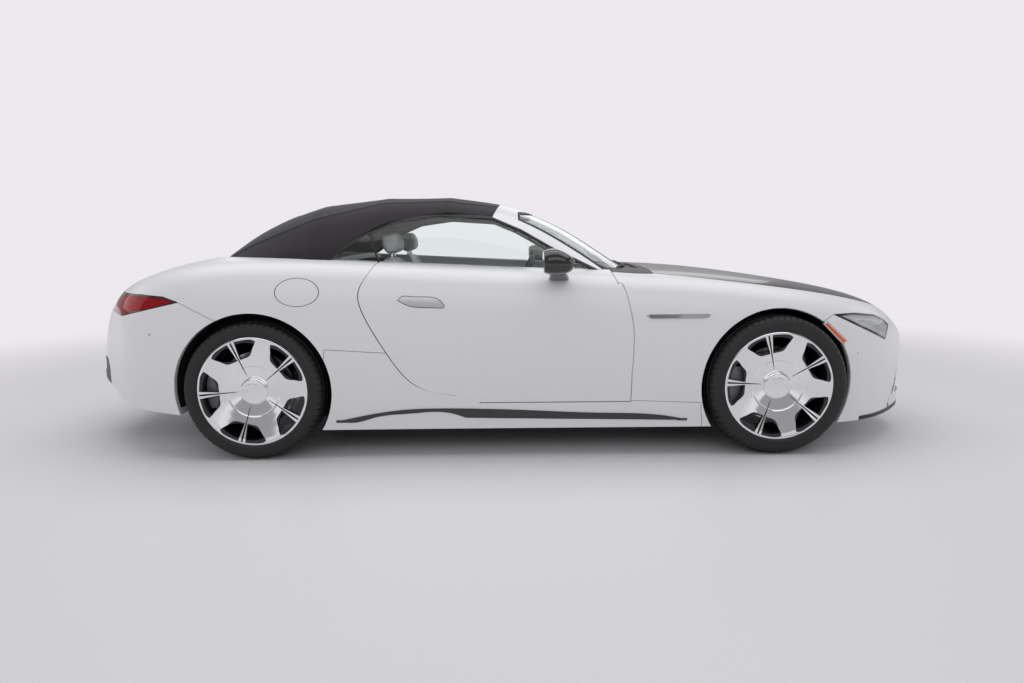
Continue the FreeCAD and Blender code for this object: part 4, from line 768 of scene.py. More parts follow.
# Cuts of the body: each field and the distances at which it splits the skin
tail_curve = smooth(np.multiply(DOOR_REACH, (REACH, ROOF)))
tail_curve = np.concatenate([[(0, DOOR_LOW)], tail_curve, [(0, 0.8 * ROOF)]])
tail_curve[1, 1] = DOOR_LOW
nose_curve = smooth(np.multiply(DOOR_NOSE, (NOSE, ROOF)))
nose_curve = np.concatenate([[(0, DOOR_LOW)], nose_curve, [(0, 0.662 * ROOF)]])
front_edge = side(DOOR_FRONT)
behind = [(-3, DOOR_LOW), (HINGE_X, DOOR_LOW)] + [(min(x, HINGE_X), z) for x, z in front_edge[::-1]]
behind += [(front_edge[0][0], 2.0), (-3, 2.0)]
cuts = {"swing": (polar_field(tail_curve), (0, GAP)), "nose": (polar_field(nose_curve), (0, GAP)),
        "behind": (field(behind, 0, 2), (0, GAP))}
for key, outline, gap in (("bonnet", BONNET, GAP), ("lid", BOOT_LID, GAP), ("tonneau", TONNEAU, SEAM),
                          ("cowl", COWL, SEAM)):
    cuts[key] = (field(smooth(both(top(outline)), 12), 0, 1), (0, gap))
for key, outline, inner in (("front", FRONT_SEAM, ()), ("rear", REAR_SEAM, ()), ("sill", SILL_SEAM, ()),
                            ("headlamp", HEADLAMP, HEADLAMP_LEVELS),
                            ("tail_lamp", TAIL_LAMP, TAIL_LEVELS), ("marker", MARKER, (-MARKER_RIM,)),
                            ("diffuser", DIFFUSER, ())):
    cuts[key] = (field(side(outline), 0, 2), (0, SEAM) + inner)
leaf = [smooth(side(line))[:-1] for line in (SILL_LEAF_TOP, SILL_LEAF_LOW, SILL_LEAF_STEP)]
cuts.update({
    "mouth": (field(front(MOUTH), 1, 2), (0, MOUTH_TRIM)),
    "intake": (line_field(smooth(front(INTAKE_LINE)), 1, 2), (BLADE_OUT, SLOT_OUT)),
    "vent": (field(side(VENT), 0, 2), (0,)),
    "trim": (field(np.concatenate(leaf), 0, 2), (0,)),
    "handle": (field(smooth(side(HANDLE + HANDLE[:1]), 8), 0, 2), (0, -HANDLE_GAP_SHADE)),
    "splitter": (lambda p: p[:, 2] - SPLITTER_TOP, (0,)),
    "front_arch": (lambda p: np.hypot(p[:, 0] - FRONT_AXLE, p[:, 2] - FRONT_RADIUS) - ARCH, (0,)),
    "rear_arch": (lambda p: np.hypot(p[:, 0] - REAR_AXLE, p[:, 2] - REAR_RADIUS) - ARCH, (0,)),
    "lid_low": (lambda p: p[:, 2] - LID_LOW, (0, -GAP)),
    "lift": (lambda p: p[:, 2] - np.interp(p[:, 0], *side(TAIL_LIFT)[::-1].T), (0,)),
    "cabin": (lambda p: np.maximum(np.abs(p[:, 0] - CABIN_X) - CABIN_LONG,
                                  np.abs(p[:, 1]) - CABIN_WIDE), (0,)),
    "tail_inner": (lambda p: -p[:, 1] - TAIL_LAMP_INNER, (0, -SEAM)),
    "lamp_inner": (lambda p: -p[:, 1] - HEADLAMP_INNER, (0, -SEAM)),
    "diffuser_half": (lambda p: -p[:, 1] - DIFFUSER_OUT, (0, SEAM)),
    "flap": (lambda p: (np.hypot((p[:, 0] - FLAP_X) / FLAP_LONG, (p[:, 2] - FLAP_Z) / FLAP_HIGH) - 1)
             * FLAP_MEAN, (0, FLAP_GAP_SHADE)),
    "tip": (lambda p: np.hypot(p[:, 1] + TIP_OUT, p[:, 2] - TIP_Z) - TIP_HOLE, (0,)),
})

# Cells of each panel; a pair of names holds the panel's own cells and those with its gap
here, d = cut_up(bodywork, cuts)
x, y, z = here.T
tail_end = x < 0
high = z > TOP_LOW
d.diffuser = np.where(tail_end, d.diffuser, 1)
d.tip = np.where(tail_end, d.tip, 1)
door, door_gap = [((d.swing < w) & (d.behind < w) | (d.nose < w)) & (y < -DOOR_INNER) for w in (0, GAP)]
bonnet_in, bonnet_gap = [(d.bonnet < w) & (z > BONNET_LOW - w) for w in (0, GAP)]
lid_in, lid_gap = [(d.lid < w) & (d.lid_low > -w) for w in (0, GAP)]
tonneau_in, tonneau_gap = [(d.tonneau < w) & high for w in (0, SEAM)]
cowl_in, cowl_gap = [(d.cowl < w) & high for w in (0, SEAM)]
headlamp_in, headlamp_gap = [(d.headlamp < w) & (d.lamp_inner > -w) for w in (0, SEAM)]
tail_in, tail_gap = [(d.tail_lamp < w) & (d.tail_inner > -w) for w in (0, SEAM)]
marker_in, marker_gap = [d.marker < w for w in (0, SEAM)]
diffuser_in, diffuser_gap = [(d.diffuser < w) & (d.diffuser_half < w) for w in (0, SEAM)]
cabin_in = (d.cabin < 0) & high
tip_in = d.tip < 0
arch_hole = (np.minimum(d.front_arch, d.rear_arch) < 0) & (np.abs(y) > ARCH_INNER)
open_body = ~arch_hole & ~(tail_end & (d.lift < 0))

sill_in = open_body & (d.sill < 0) & ~door_gap
fixed = open_body & ~door_gap & ~(d.sill < SEAM)
mouth = (d.mouth < 0) & (x > MOUTH_FROM)
nose = fixed & (d.front < 0) & ~bonnet_gap & ~headlamp_gap & ~mouth & ~marker_gap
splitter = nose & (d.splitter < 0) & (x > NOSE_FROM)
mouth_trim = nose & ~splitter & (d.mouth < MOUTH_TRIM) & (x > MOUTH_FROM)
nose = nose & ~splitter & ~mouth_trim
blade = nose & (d.intake < BLADE_OUT) & (x > NOSE_FROM)
corner_slot = nose & (d.intake < SLOT_OUT) & (x > NOSE_FROM) & ~blade
tail = fixed & (d.rear < 0) & ~lid_gap & ~tail_gap & ~diffuser_gap & ~tip_in
wings = fixed & ~(d.front < SEAM) & ~(d.rear < SEAM) & ~cabin_in
fender = wings & (x > 0.22) & ~bonnet_gap & ~cowl_gap & ~headlamp_gap & ~marker_gap
quarter = wings & (x < 0) & ~lid_gap & ~tonneau_gap & ~tail_gap
# Dark rings round the fuel flap and the door handle: painted shade in place of the shade in a real gap
flap_gap_shade = (d.flap > 0) & (d.flap < FLAP_GAP_SHADE) & quarter
flap = (d.flap < 0) & quarter
handle = d.handle < -HANDLE_GAP_SHADE
handle_gap_shade = (d.handle < 0) & (d.handle > -HANDLE_GAP_SHADE)

panel(bodywork, "door_skin", door & ~handle_gap_shade & ~handle, paint, body="door_SIDE")
panel(bodywork, "door_handle", door & handle, satin, lift=0.0025, body="door_SIDE")
# The dark ring round the handle is painted gap shade
panel(bodywork, "door_handle_joint", door & handle_gap_shade, seal_rubber_and_gap_shade, "both", 0.0004, 0.004, "door_SIDE")
panel(bodywork, "sill_skin", sill_in, paint)
panel(bodywork, "front_bumper_skin", nose & ~blade & ~corner_slot, paint, "across")
panel(bodywork, "splitter", splitter, black_trim, "across", 0.002)
panel(bodywork, "corner_blade", blade, chrome, lift=0.003)
panel(bodywork, "corner_slot", corner_slot, black_gloss, lift=0.0008, slot="dark_trim")
panel(bodywork, "intake_trim", mouth_trim, chrome, "across", 0.002)
panel(bodywork, "rear_bumper_skin", tail, paint, "across")
panel(bodywork, "fender_skin", fender, paint)
panel(bodywork, "quarter_skin_right", quarter & ~flap_gap_shade & ~flap, paint, "right")
panel(bodywork, "fuel_flap", flap, paint, "right")
# The dark ring round the fuel flap is painted gap shade
panel(bodywork, "fuel_flap_painted_gap_shade", flap_gap_shade, seal_rubber_and_gap_shade, "right", 0.0003, 0.004)
panel(bodywork, "quarter_skin_left", quarter, paint, "left")
panel(bodywork, "bonnet_skin", bonnet_in, bonnet_paint, "across", body="bonnet")
panel(bodywork, "boot_lid_skin", lid_in & ~tail_gap, paint, "across", body="boot_lid")
panel(bodywork, "tonneau_skin", tonneau_in & ~lid_gap & ~cabin_in, paint, "across")
panel(bodywork, "cowl_skin", cowl_in & ~bonnet_gap & ~door_gap, black_trim, "across")
panel(bodywork, "vent_blade", fender & (d.vent < 0), chrome, lift=0.0045)
leaf = (sill_in | fender | quarter) & (d.trim < 0)
leaves = plate(bodywork, "sill_trim", leaf, black_gloss, "both", 0.004, 0.002, slot="dark_trim")
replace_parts(leaves[0], "side_trims")


def lamp_unit(name, node, cells, rim, levels, lens, bowl, deep, bezel_thick, guide, guide_place):
    """A lamp: its lens, the bowl behind, a dark bezel along the rim and a light guide inside."""
    bezel, guide_out, guide_in = levels
    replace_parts(plate(bodywork, name + "_lens", cells, lens, "both", 0.0006, 0.003)[0], node)
    recess(bodywork, name + "_bowl", cells, bowl, deep)
    plate(bodywork, name + "_bezel", cells & (rim > bezel), black_gloss, "both", 0.0012, bezel_thick,
          slot=slot_of[lens.name])
    guide_in_lamp = cells & (rim > guide_in) & (rim < guide_out)
    plate(bodywork, name + "_guide", guide_in_lamp, guide, "both", *guide_place)


lamp_unit("headlamp", "front_lamps", headlamp_in & (x > LAMPS_FROM), d.headlamp, HEADLAMP_LEVELS, clear_lens,
          lamp_dark, 0.045, 0.01, light_guide, (-0.012, 0.022))
marker = marker_in & (x > LAMPS_FROM)
plate(bodywork, "side_marker", marker & (d.marker < -MARKER_RIM), amber_lens, "both", 0.0018, 0.01)
plate(bodywork, "marker_field", marker & (d.marker > -MARKER_RIM), paint, "both", 0.0006, 0.01)
lamp_unit("tail", "tail_lamps", tail_in & (x < -LAMPS_FROM), d.tail_lamp, TAIL_LEVELS, red_glass, red_lens,
          0.035, 0.012, red_bright, (-0.01, 0.02))
panel(bodywork, "diffuser_skin", diffuser_in & open_body & ~tip_in, black_trim, "across")

# Greenhouse skin: pillars, glass, seals and soft top
SEAM_LINE = (
    (-1.489, 1.026), (-1.279, 1.127), (-0.96, 1.248), (-0.792, 1.29), (-0.359, 1.324), (-0.032, 1.298),
)
seam_distance = line_field(smooth(SEAM_LINE), 0, 2)
poles = []
for place, roof, seam_y, seam_z, side_y, side_z, belt_y, belt_z in GREENHOUSE_STATIONS:
    shares = ((0, roof), (seam_y * ROOF_FLAT, roof), (seam_y, seam_z), (side_y, side_z), (belt_y, belt_z))
    row = [(place * HALF_LENGTH, -y * HALF_WIDTH, z * ROOF) for y, z in shares]
    row.append((place * HALF_LENGTH, row[-1][1] * SKIRT, GREENHOUSE_FLOOR))
    poles.append(whole_row(row))
greenhouse = skin_of(poles, TOP_CELL, (0.3, 0.6), (0.5, 0.75))

edge = side(ROOF_EDGE)
pillar = side(PILLAR_EDGE)
roof_outline = np.concatenate([[(edge[0][0], 2.0)], edge[:1], smooth(edge[1:]),
                               [(edge[-1][0], 0.3), (-3, 0.3), (-3, 2)]])
frame_outline = np.concatenate([[(edge[0][0] + SEAM, 2.0)], edge[:2] + (SEAM, 0), pillar,
                                [(3, pillar[-1][1]), (3, 2)]])
at, e = cut_up(greenhouse, {
    "roof": (field(roof_outline, 0, 2), (0, BAND)),
    "frame": (field(frame_outline, 0, 2), (0,)),
    "screen": (field(front(SCREEN), 1, 2), (0, BAND)),
    "header": (lambda p: HEADER_X - p[:, 0], (0, BAND)),
    "rear_window": (field(front(REAR_WINDOW), 1, 2), (0, WINDOW_RIM)),
    "door_glass": (field(side(DOOR_GLASS), 0, 2), (0, 0.004)),
    "quarter_window": (field(side(QUARTER_WINDOW), 0, 2), (0,)),
    "low": (lambda p: p[:, 2] - GLASS_LOW, (0,)),
    "welt": (seam_distance, (WELT_OUT,)),
})
above = e.low > 0
in_roof = (e.roof < 0) & above
rear_glass = (e.rear_window < 0) & (at[:, 0] < REAR_GLASS_FROM)
rear_frame = (e.rear_window < WINDOW_RIM) & (at[:, 0] < REAR_GLASS_FROM) & ~rear_glass
in_screen = (e.screen < 0) & (e.header < 0)
screen_band = (e.screen < BAND) & (e.header < BAND) & ~in_screen
in_frame = (e.frame < 0) & ~(e.roof < 0.002) & above & ~in_screen
side_glass = (e.door_glass < 0) & above & ~in_roof & ~in_frame
corner_glass = (e.quarter_window < 0) & above & ~in_roof
rest = above & ~in_roof & ~in_frame & ~in_screen & ~side_glass & ~corner_glass & (at[:, 0] < 0.62)
BOWS = (-0.3, -0.66, -1.02)


def roof_relief(p):
    """Welts along the side seams, bows under the cloth and the slight sag between them."""
    on_side = np.clip((-p[:, 1] - 0.3) / 0.1, 0, 1)
    relief = 0.0035 * np.exp(-(seam_distance(p) / 0.006) ** 2) * on_side
    for bow in BOWS:
        relief += 0.003 * np.exp(-((p[:, 0] - bow) / 0.035) ** 2)
    relief -= 0.002 * np.cos((p[:, 0] + 0.12) / 0.36 * TURN)
    return relief + 0.002


whole_top = in_roof & ~rear_glass & ~rear_frame
cloth = plate(greenhouse, "soft_top_cloth", whole_top, fabric, "across", 0.001, 0.002, roof_relief)[0]
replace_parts(cloth, "soft_top")
lining = plate(greenhouse, "soft_top_lining", whole_top, lining_cloth, "across", -0.0035, 0.02)[0]
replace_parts(lining, "soft_top")
welt = whole_top & (e.welt < WELT_OUT) & (at[:, 1] < -0.3)
plate(greenhouse, "soft_top_welt", welt, seal_rubber_and_gap_shade, "both", 0.0025, 0.001, roof_relief, slot="roof_fabric")
plate(greenhouse, "rear_window_frame", rear_frame, seal_rubber_and_gap_shade, "across", 0.003, 0.012)
for name, cells, sides in (("rear_pane", rear_glass, "across"), ("windscreen_pane", in_screen, "across"),
                           ("quarter_pane", corner_glass, "both")):
    for pane in plate(greenhouse, name, cells, glass, sides, -0.003, 0.008):
        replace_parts(pane, "fixed_glass")
for pane in plate(greenhouse, "door_pane", side_glass, glass, "both", -0.004, 0.009, body="door_SIDE"):
    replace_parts(pane, pane.name.replace("door_pane", "door_glass"))
plate(greenhouse, "window_seal", rest, seal_rubber_and_gap_shade, "both", 0.0, 0.014)
panel(greenhouse, "frame_skin", in_frame & ~screen_band, paint, "across")
panel(greenhouse, "screen_band", screen_band & in_frame, seal_rubber_and_gap_shade, "across", 0.0012)

# Wheels: a polished face with pockets over the dark rim, brake disc and tyre
BARREL_IN = 0.258
POCKET_LOW = 0.665 * BARREL_IN
POCKET_HIGH = 1.046 * BARREL_IN
POCKET_RIM = ((0.04, 1.046), (0.068, 1.04), (0.0765, 1.02))
POCKET_FLANK = (
    (0.0765, 1.02), (0.0745, 0.96), (0.0675, 0.86), (0.06, 0.755), (0.051, 0.705), (0.03, 0.676),
)
FACE_PROFILE = (
    (0.0, -0.0128), (0.02, -0.0129), (0.04, -0.0132), (0.042, -0.0139), (0.044, -0.0133),
    (0.064, -0.0142), (0.0675, -0.0165), (0.0683, -0.028), (0.0712, -0.0284), (0.074, -0.0274),
    (0.1, -0.0228), (0.129, -0.0178), (0.1305, -0.0184), (0.1335, -0.0178), (0.135, -0.0168),
    (0.17, -0.0112), (0.21, -0.0052), (0.254, 0.0012), (0.268, 0.0022), (0.271, 0.003), (0.278, 0.003),
    (0.282, 0.0008), (0.2838, -0.004), (0.2838, -0.009),
)


def polar(turn, out):
    """A place on the wheel's face, from a share of a turn and a share of the barrel's reach."""
    return out * BARREL_IN * math.cos(turn * TURN), out * BARREL_IN * math.sin(turn * TURN)


def face_surface(places):
    """The face's points from their reach and their angle."""
    reach = places[:, 0]
    profile = np.array(FACE_PROFILE)
    depth = np.interp(reach, profile[:, 0], profile[:, 1])
    return np.stack([reach * np.cos(places[:, 1]), -depth, reach * np.sin(places[:, 1])], 1)


bar_side = [(POCKET_LOW, 0.006), (POCKET_HIGH, 0.018)]
pocket = np.concatenate([bar_side, smooth([bar_side[1]] + [polar(*p) for p in POCKET_RIM])[1:],
                         smooth([polar(*p) for p in POCKET_FLANK] + [bar_side[0]])[1:-1]])
slot_outline = np.array([(0.085, 0.0016), (POCKET_HIGH, 0.0053), (POCKET_HIGH, -0.0053), (0.085, -0.0016)])


def pocket_field(p):
    return outline_distance(pocket, np.stack([p[:, 0], np.abs(p[:, 2])], 1)) + 0.0004


def slot_field(p):
    return outline_distance(slot_outline, p[:, (0, 2)]) + 0.0003


# One fifth of the wheel's face is cut, hemmed and turned round
SPOKES = 5
HALF_SPOKE = math.pi / SPOKES
FACE_HEM = 0.005


def spun(points, turn):
    """Points turned about the wheel's axle."""
    x, y, z = points.T
    return np.stack([x * math.cos(turn) - z * math.sin(turn), y, x * math.sin(turn) + z * math.cos(turn)], 1)


reaches = np.unique(np.concatenate([np.linspace(0, FACE_PROFILE[-1][0], 50), np.array(FACE_PROFILE)[:, 0]]))
reaches = reaches[np.concatenate([[True], np.diff(reaches) > 4e-4])]
face_skin = Skin(face_surface, reaches, np.linspace(-HALF_SPOKE, HALF_SPOKE, 49))
middle, away = cut_up(face_skin, {"pocket": (pocket_field, (0,)), "slot": (slot_field, (0,))})
places, points, faces = face_skin.part((away.pocket > 0) & (away.slot > 0))
points, faces = welded(points, faces)
off_seam = np.abs(np.abs(np.arctan2(points[:, 2], points[:, 0])) - HALF_SPOKE)
edges = [(a, b) for a, b in open_edges(faces)
         if max(off_seam[a], off_seam[b]) > 1e-3 and points[a][0] > 0.001]
points, faces = hemmed(points, faces, edges, np.tile((0, FACE_HEM, 0), (len(points), 1)))
all_points = np.concatenate([spun(points, TURN * spoke / SPOKES) for spoke in range(SPOKES)])
all_faces = [tuple(i + len(points) * spoke for i in face) for spoke in range(SPOKES) for face in faces]
face_points, face_faces = welded(all_points, all_faces)
first, second, third = face_points[list(face_faces[0][:3])]
if np.cross(second - first, third - first)[1] > 0:
    face_faces = flipped(face_faces)

PITCHES = 66


def tyre_profile(radius, half):
    """Tyre section from the inner bead over the tread to the outer bead, as reach and depth."""
    wall = smooth([(0.2675, half * 0.86), (0.283, half * 0.935), (0.294, half * 0.99), (0.308, half),
                   (radius - 0.045, half), (radius - 0.024, half - 0.006), (radius - 0.009, half - 0.021),
                   (radius - 0.003, half - 0.042)], 4)
    rib = [(r, w + 0.0022 * math.exp(-((r - 0.2925) / 0.003) ** 2)) for r, w in wall]
    tread = []
    for share, wide in ((0.62, 0.0055), (0.22, 0.006)):
        w = half * share
        crown = radius - 0.003 * share ** 2
        tread += [(crown, w + wide), (crown - 0.0065, w + wide * 0.7), (crown - 0.0065, w - wide * 0.7),
                  (crown, w - wide)]
    half_side = rib + tread
    return [(r, -w) for r, w in half_side] + [(r, w) for r, w in half_side[::-1]]


def tyre_piece(name, carrier, radius, half, centre, sign):
    """A tyre with two grooves round it and a notch in its shoulders at each pitch."""
    profile = tyre_profile(radius, half)
    turns = [(pitch + part) / PITCHES * TURN for pitch in range(PITCHES) for part in (0.0, 0.03, 0.14, 0.17)]
    points, faces = turned_rings(profile, turns)
    count = len(profile)
    reach, depth = np.abs(np.array(profile)).T
    block = np.flatnonzero((reach > radius - 0.02) & (depth > half * 0.68))
    for i in range(len(turns)):
        if i % 4 in (1, 2):
            notch = 1 - 0.0045 / reach[block]
            points[i * count + block] *= np.stack([notch, np.ones(len(block)), notch], 1)
    points[:, 1] *= -sign
    starts = [(i * count, (i + 1) % len(turns) * count) for i in range(len(turns))]
    closing = [(a + count - 1, b + count - 1, b, a) for a, b in starts]
    faces = faces + closing if sign < 0 else flipped(faces + closing)
    return make_object(name, points + centre, faces, rubber, carrier, sharp=28)


# Each wheel's corner, axle, side, radius, half width, place off the middle and turn in degrees
WHEELS = (
    ("front_right", FRONT_AXLE, -1, FRONT_RADIUS, 0.1375, 0.815, 31.7),
    ("front_left", FRONT_AXLE, 1, FRONT_RADIUS, 0.1375, 0.815, 31.7),
    ("rear_right", REAR_AXLE, -1, REAR_RADIUS, 0.1525, 0.809, 39.4),
    ("rear_left", REAR_AXLE, 1, REAR_RADIUS, 0.1525, 0.809, 39.4),
)
DISC_PROFILE = (
    (0.095, -0.002), (0.095, 0.0008), (0.108, 0.0008), (0.109, 0.0002), (0.112, 0.0002), (0.113, 0.0008),
    (0.1945, 0.0008), (0.1956, -0.0002), (0.1956, -0.029),
)
for corner, axle, sign, radius, half, out, turn in WHEELS:
    centre = np.array((axle, sign * out, radius))
    carrier = "wheel_" + corner
    nodes["rim_" + corner].data.materials[0] = dark_barrel
    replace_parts(tyre_piece("tyre_tread_" + corner, carrier, radius, half, centre, sign), "tyre_" + corner)
    face_out = half * 0.9
    points = spun(face_points, math.radians(turn)) - (0, face_out + 0.0006, 0)
    points[:, 1] *= -sign
    faces = face_faces if sign < 0 else flipped(face_faces)
    make_object("wheel_face_" + corner, points + centre, faces, polished, carrier, sharp=40)
    points, faces = turned_rings(np.add(DISC_PROFILE, (0, face_out - 0.082)), np.arange(0, TURN, TURN / 120))
    points[:, 1] *= -sign
    faces = flipped(faces) if sign < 0 else faces
    make_object("brake_disc_" + corner, points + centre, faces, steel, carrier, "wheel_metal")


# Rounded forms: a block whose edges are rolled, set along a line in the side view
def power(values, exponent):
    """A power that keeps the sign."""
    return np.sign(values) * np.abs(values) ** exponent


def ring_faces(rows, around):
    """Faces between rows of points that close round."""
    pairs = [(k, (k + 1) % around) for k in range(around)]
    return [(i * around + k, i * around + n, (i + 1) * around + n, (i + 1) * around + k)
            for i in range(rows - 1) for k, n in pairs]


def rolled(e_round, e_side, around, across):
    """Points of a unit block with rolled edges, as length, width and depth, and its faces."""
    a = np.linspace(-math.pi / 2, math.pi / 2, across + 1)
    b = np.linspace(-math.pi, math.pi, around, endpoint=False)
    wide, ring = np.meshgrid(a, b, indexing="ij")
    girth = power(np.cos(wide), e_side)
    points = np.stack([girth * power(np.cos(ring), e_round), power(np.sin(wide), e_side),
                       girth * power(np.sin(ring), e_round)], -1)
    return points.reshape(-1, 3), ring_faces(across + 1, around)


def along_line(unit, line, half_width, half_depths, centre_y):
    """Set unit points along a line of x and z, with a half depth for each of its points."""
    fine = smooth(line, 20)
    steps = np.concatenate([[0], np.cumsum(np.linalg.norm(np.diff(fine, axis=0), axis=1))])
    share = (unit[:, 0] + 1) / 2 * steps[-1]

    def place(at):
        return np.stack([np.interp(at, steps, fine[:, 0]), np.interp(at, steps, fine[:, 1])], 1)

    ahead = place(share + 0.01) - place(share - 0.01)
    ahead /= np.linalg.norm(ahead, axis=1)[:, None]
    x, z = place(share).T
    depth = unit[:, 2] * np.interp(share / steps[-1], np.linspace(0, 1, len(half_depths)), half_depths)
    y = centre_y + unit[:, 1] * half_width
    return np.stack([x - ahead[:, 1] * depth, y, z + ahead[:, 0] * depth], 1)


def form(name, block, place, material, body="root", slot=None):
    """A rolled block put in place, its faces turned outward."""
    unit, faces = block
    points, faces = welded(place(unit), faces)
    middle = points.mean(0)
    votes = 0
    for face in faces[::7]:
        a, b, c = points[list(face[:3])]
        votes += np.sign(np.cross(b - a, c - a) @ (a - middle))
    return make_object(name, points, flipped(faces) if votes < 0 else faces, material, body, slot)


def bolstered(unit, rise, start, ribs, rib_deep, face_sign):
    """Raise the sides of a pad and sew channels across its middle."""
    made = unit.copy()
    front_side = np.clip(unit[:, 2] * face_sign * 2, 0, 1)
    outer = np.clip((np.abs(unit[:, 1]) - start) / 0.16, 0, 1)
    outer = outer * outer * (3 - 2 * outer)
    sewn = sum(np.exp(-((unit[:, 0] - rib) / 0.022) ** 2) for rib in ribs) * (1 - outer)
    side_seam = np.exp(-((np.abs(unit[:, 1]) - start) / 0.025) ** 2)
    made[:, 2] += face_sign * front_side * (rise * outer - rib_deep * np.maximum(sewn, side_seam))
    return made


# Seats, each form with its block, line, half width, half depths and material, and the mirrors
SEAT_OUT = 0.37
POST_RADIUS = 0.0065
POST_OUT = 0.0625
POST_AROUND = 24
pad, pad_faces = rolled(0.4, 0.36, 96, 72)
cushion_pad = bolstered(pad, 0.3, 0.62, (-0.55, -0.25, 0.05, 0.35, 0.62), 0.16, 1)
back_pad = bolstered(pad, 0.34, 0.62, (-0.5, -0.3, -0.1, 0.1, 0.3, 0.5, 0.68), 0.14, -1)
SEAT_FORMS = (
    ("seat_cushion_", (cushion_pad, pad_faces), ((-0.47, 0.318), (-0.2, 0.345), (0.06, 0.352)), 0.245,
     (0.06, 0.062, 0.062), leather),
    ("seat_back_", (back_pad, pad_faces), ((-0.485, 0.35), (-0.515, 0.56), (-0.585, 0.82), (-0.642, 1.02)),
     0.24, (0.07, 0.062, 0.05, 0.04), leather),
    ("seat_headrest_", rolled(0.55, 0.45, 64, 40), ((-0.612, 1.046), (-0.628, 1.1), (-0.64, 1.158)), 0.124,
     (0.044, 0.054, 0.046), leather),
    ("seat_base_", rolled(0.3, 0.25, 40, 30), ((-0.47, 0.255), (0.03, 0.262)), 0.222, (0.052, 0.055),
     cabin_trim),
)
mirror_block = rolled(0.72, 0.7, 64, 48)
turns = np.arange(POST_AROUND) * TURN / POST_AROUND
for side_name, way in SIDES:
    seat_y = way * SEAT_OUT
    for name, block, line, half_width, half_depths, material in SEAT_FORMS:
        piece = form(name + side_name, block, lambda u: along_line(u, line, half_width, half_depths, seat_y),
                     material)
        if material is leather:
            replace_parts(piece, "seat_" + side_name)
    for number, post_way in enumerate((-1, 1)):
        ring_x = -0.628 + POST_RADIUS * np.cos(turns)
        ring_y = seat_y + post_way * POST_OUT + POST_RADIUS * np.sin(turns)
        post = np.concatenate([np.stack([ring_x + lean, ring_y, np.full(POST_AROUND, z)], 1)
                               for z, lean in ((1.0, 0.0), (1.035, 0.0), (1.08, 0.004))])
        make_object("headrest_post_%s_%d" % (side_name, number), post, ring_faces(3, POST_AROUND), chrome)

    def shell_place(u):
        """The mirror's shell, flat at the back."""
        ahead = np.clip(u[:, 0], 0, 1)
        rise = np.where(u[:, 2] > 0, 0.072 - 0.03 * ahead, 0.056 - 0.004 * ahead)
        return np.stack([0.262 + np.maximum(u[:, 0] * 0.088, -0.064), way * (1.0 + u[:, 1] * 0.099),
                         1.003 + u[:, 2] * rise], 1)

    on_door = "door_" + side_name
    shell = form("mirror_shell_" + side_name, mirror_block, shell_place, black_gloss, on_door)
    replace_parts(shell, "mirror_" + side_name)
    form("mirror_glass_" + side_name, mirror_block, lambda u: np.stack([
        0.198 + u[:, 0] * 0.0014, way * (1.0 + u[:, 1] * 0.078), 1.008 + u[:, 2] * 0.046], 1),
        mirror_glass, on_door)
    form("mirror_foot_" + side_name, mirror_block, lambda u: np.stack([
        0.28 + u[:, 0] * 0.048 * (1 - 0.2 * u[:, 1]) - 0.01 * u[:, 1], way * (0.915 + u[:, 1] * 0.088),
        0.932 + u[:, 1] * 0.024 + u[:, 2] * 0.015], 1), black_gloss, on_door)


# Small rigid fittings
def nearest_on(skin, target):
    """The point of a skin nearest to a target, and its outward direction."""
    index = np.linalg.norm(skin.points - target, axis=1).argmin()
    normal = skin.normals(skin.places[index:index + 1])[0]
    if normal @ (skin.points[index] - CORE) < 0:
        normal = -normal
    return skin.points[index], normal


def tube(name, line, radii, material, around):
    """A round bar along points, with a radius for each and rounded ends."""
    line = np.array(line, float)
    first = (line[1] - line[0]) / np.linalg.norm(line[1] - line[0])
    last = (line[-1] - line[-2]) / np.linalg.norm(line[-1] - line[-2])
    caps = np.linspace(0, math.pi / 2, 5)[1:]
    rows = [(line[0] - first * radii[0] * math.sin(t), radii[0] * math.cos(t)) for t in caps[::-1]]
    rows += list(zip(line, radii))
    rows += [(line[-1] + last * radii[-1] * math.sin(t), radii[-1] * math.cos(t)) for t in caps]
    points = []
    centres = np.array([row[0] for row in rows])
    for i, (centre, radius) in enumerate(rows):
        ahead = centres[min(i + 1, len(rows) - 1)] - centres[max(i - 1, 0)]
        ahead /= np.linalg.norm(ahead)
        side_way = np.cross(ahead, (0.1, 0.2, 1.0))
        side_way /= np.linalg.norm(side_way)
        up_way = np.cross(side_way, ahead)
        points += [centre + radius * (side_way * math.cos(t) + up_way * math.sin(t))
                   for t in np.arange(around) / around * TURN]
    points, faces = welded(np.array(points), ring_faces(len(rows), around))
    ring = list(faces[len(faces) // 2])
    middle = points[ring].mean(0)
    near = centres[np.linalg.norm(centres - middle, axis=1).argmin()]
    a, b, c = points[ring[:3]]
    if np.cross(b - a, c - a) @ (middle - near) < 0:
        faces = flipped(faces)
    return make_object(name, points, faces, material)


screen_points = greenhouse.part(in_screen)[1]
for side_name, first_y, last_y in (("right", -0.58, -0.04), ("left", 0.02, 0.56)):
    blade = []
    for y in np.linspace(first_y, last_y, 12):
        near = screen_points[np.abs(screen_points[:, 1] + abs(y)) < 0.015]
        point, normal = nearest_on(greenhouse, near[np.abs(near[:, 2] - near[:, 2].min() - 0.022).argmin()])
        blade.append((point[0] + normal[0] * 0.011, y, point[2] + normal[2] * 0.011))
    blade = smooth(blade, 2)
    thickness = np.interp(np.linspace(0, 1, len(blade)), (0, 0.1, 0.9, 1), (0.004, 0.0065, 0.0065, 0.003))
    tube("wiper_blade_" + side_name, blade, thickness, seal_rubber_and_gap_shade, 10)
    arm_steps = ((0.006, 0, 0.006), (0.022, -0.1, 0.003), (0.04, -0.2, -0.012))
    arm = smooth(np.add(blade[len(blade) // 2], arm_steps), 8)
    tube("wiper_arm_" + side_name, arm, np.linspace(0.004, 0.009, len(arm)), black_trim, 12)

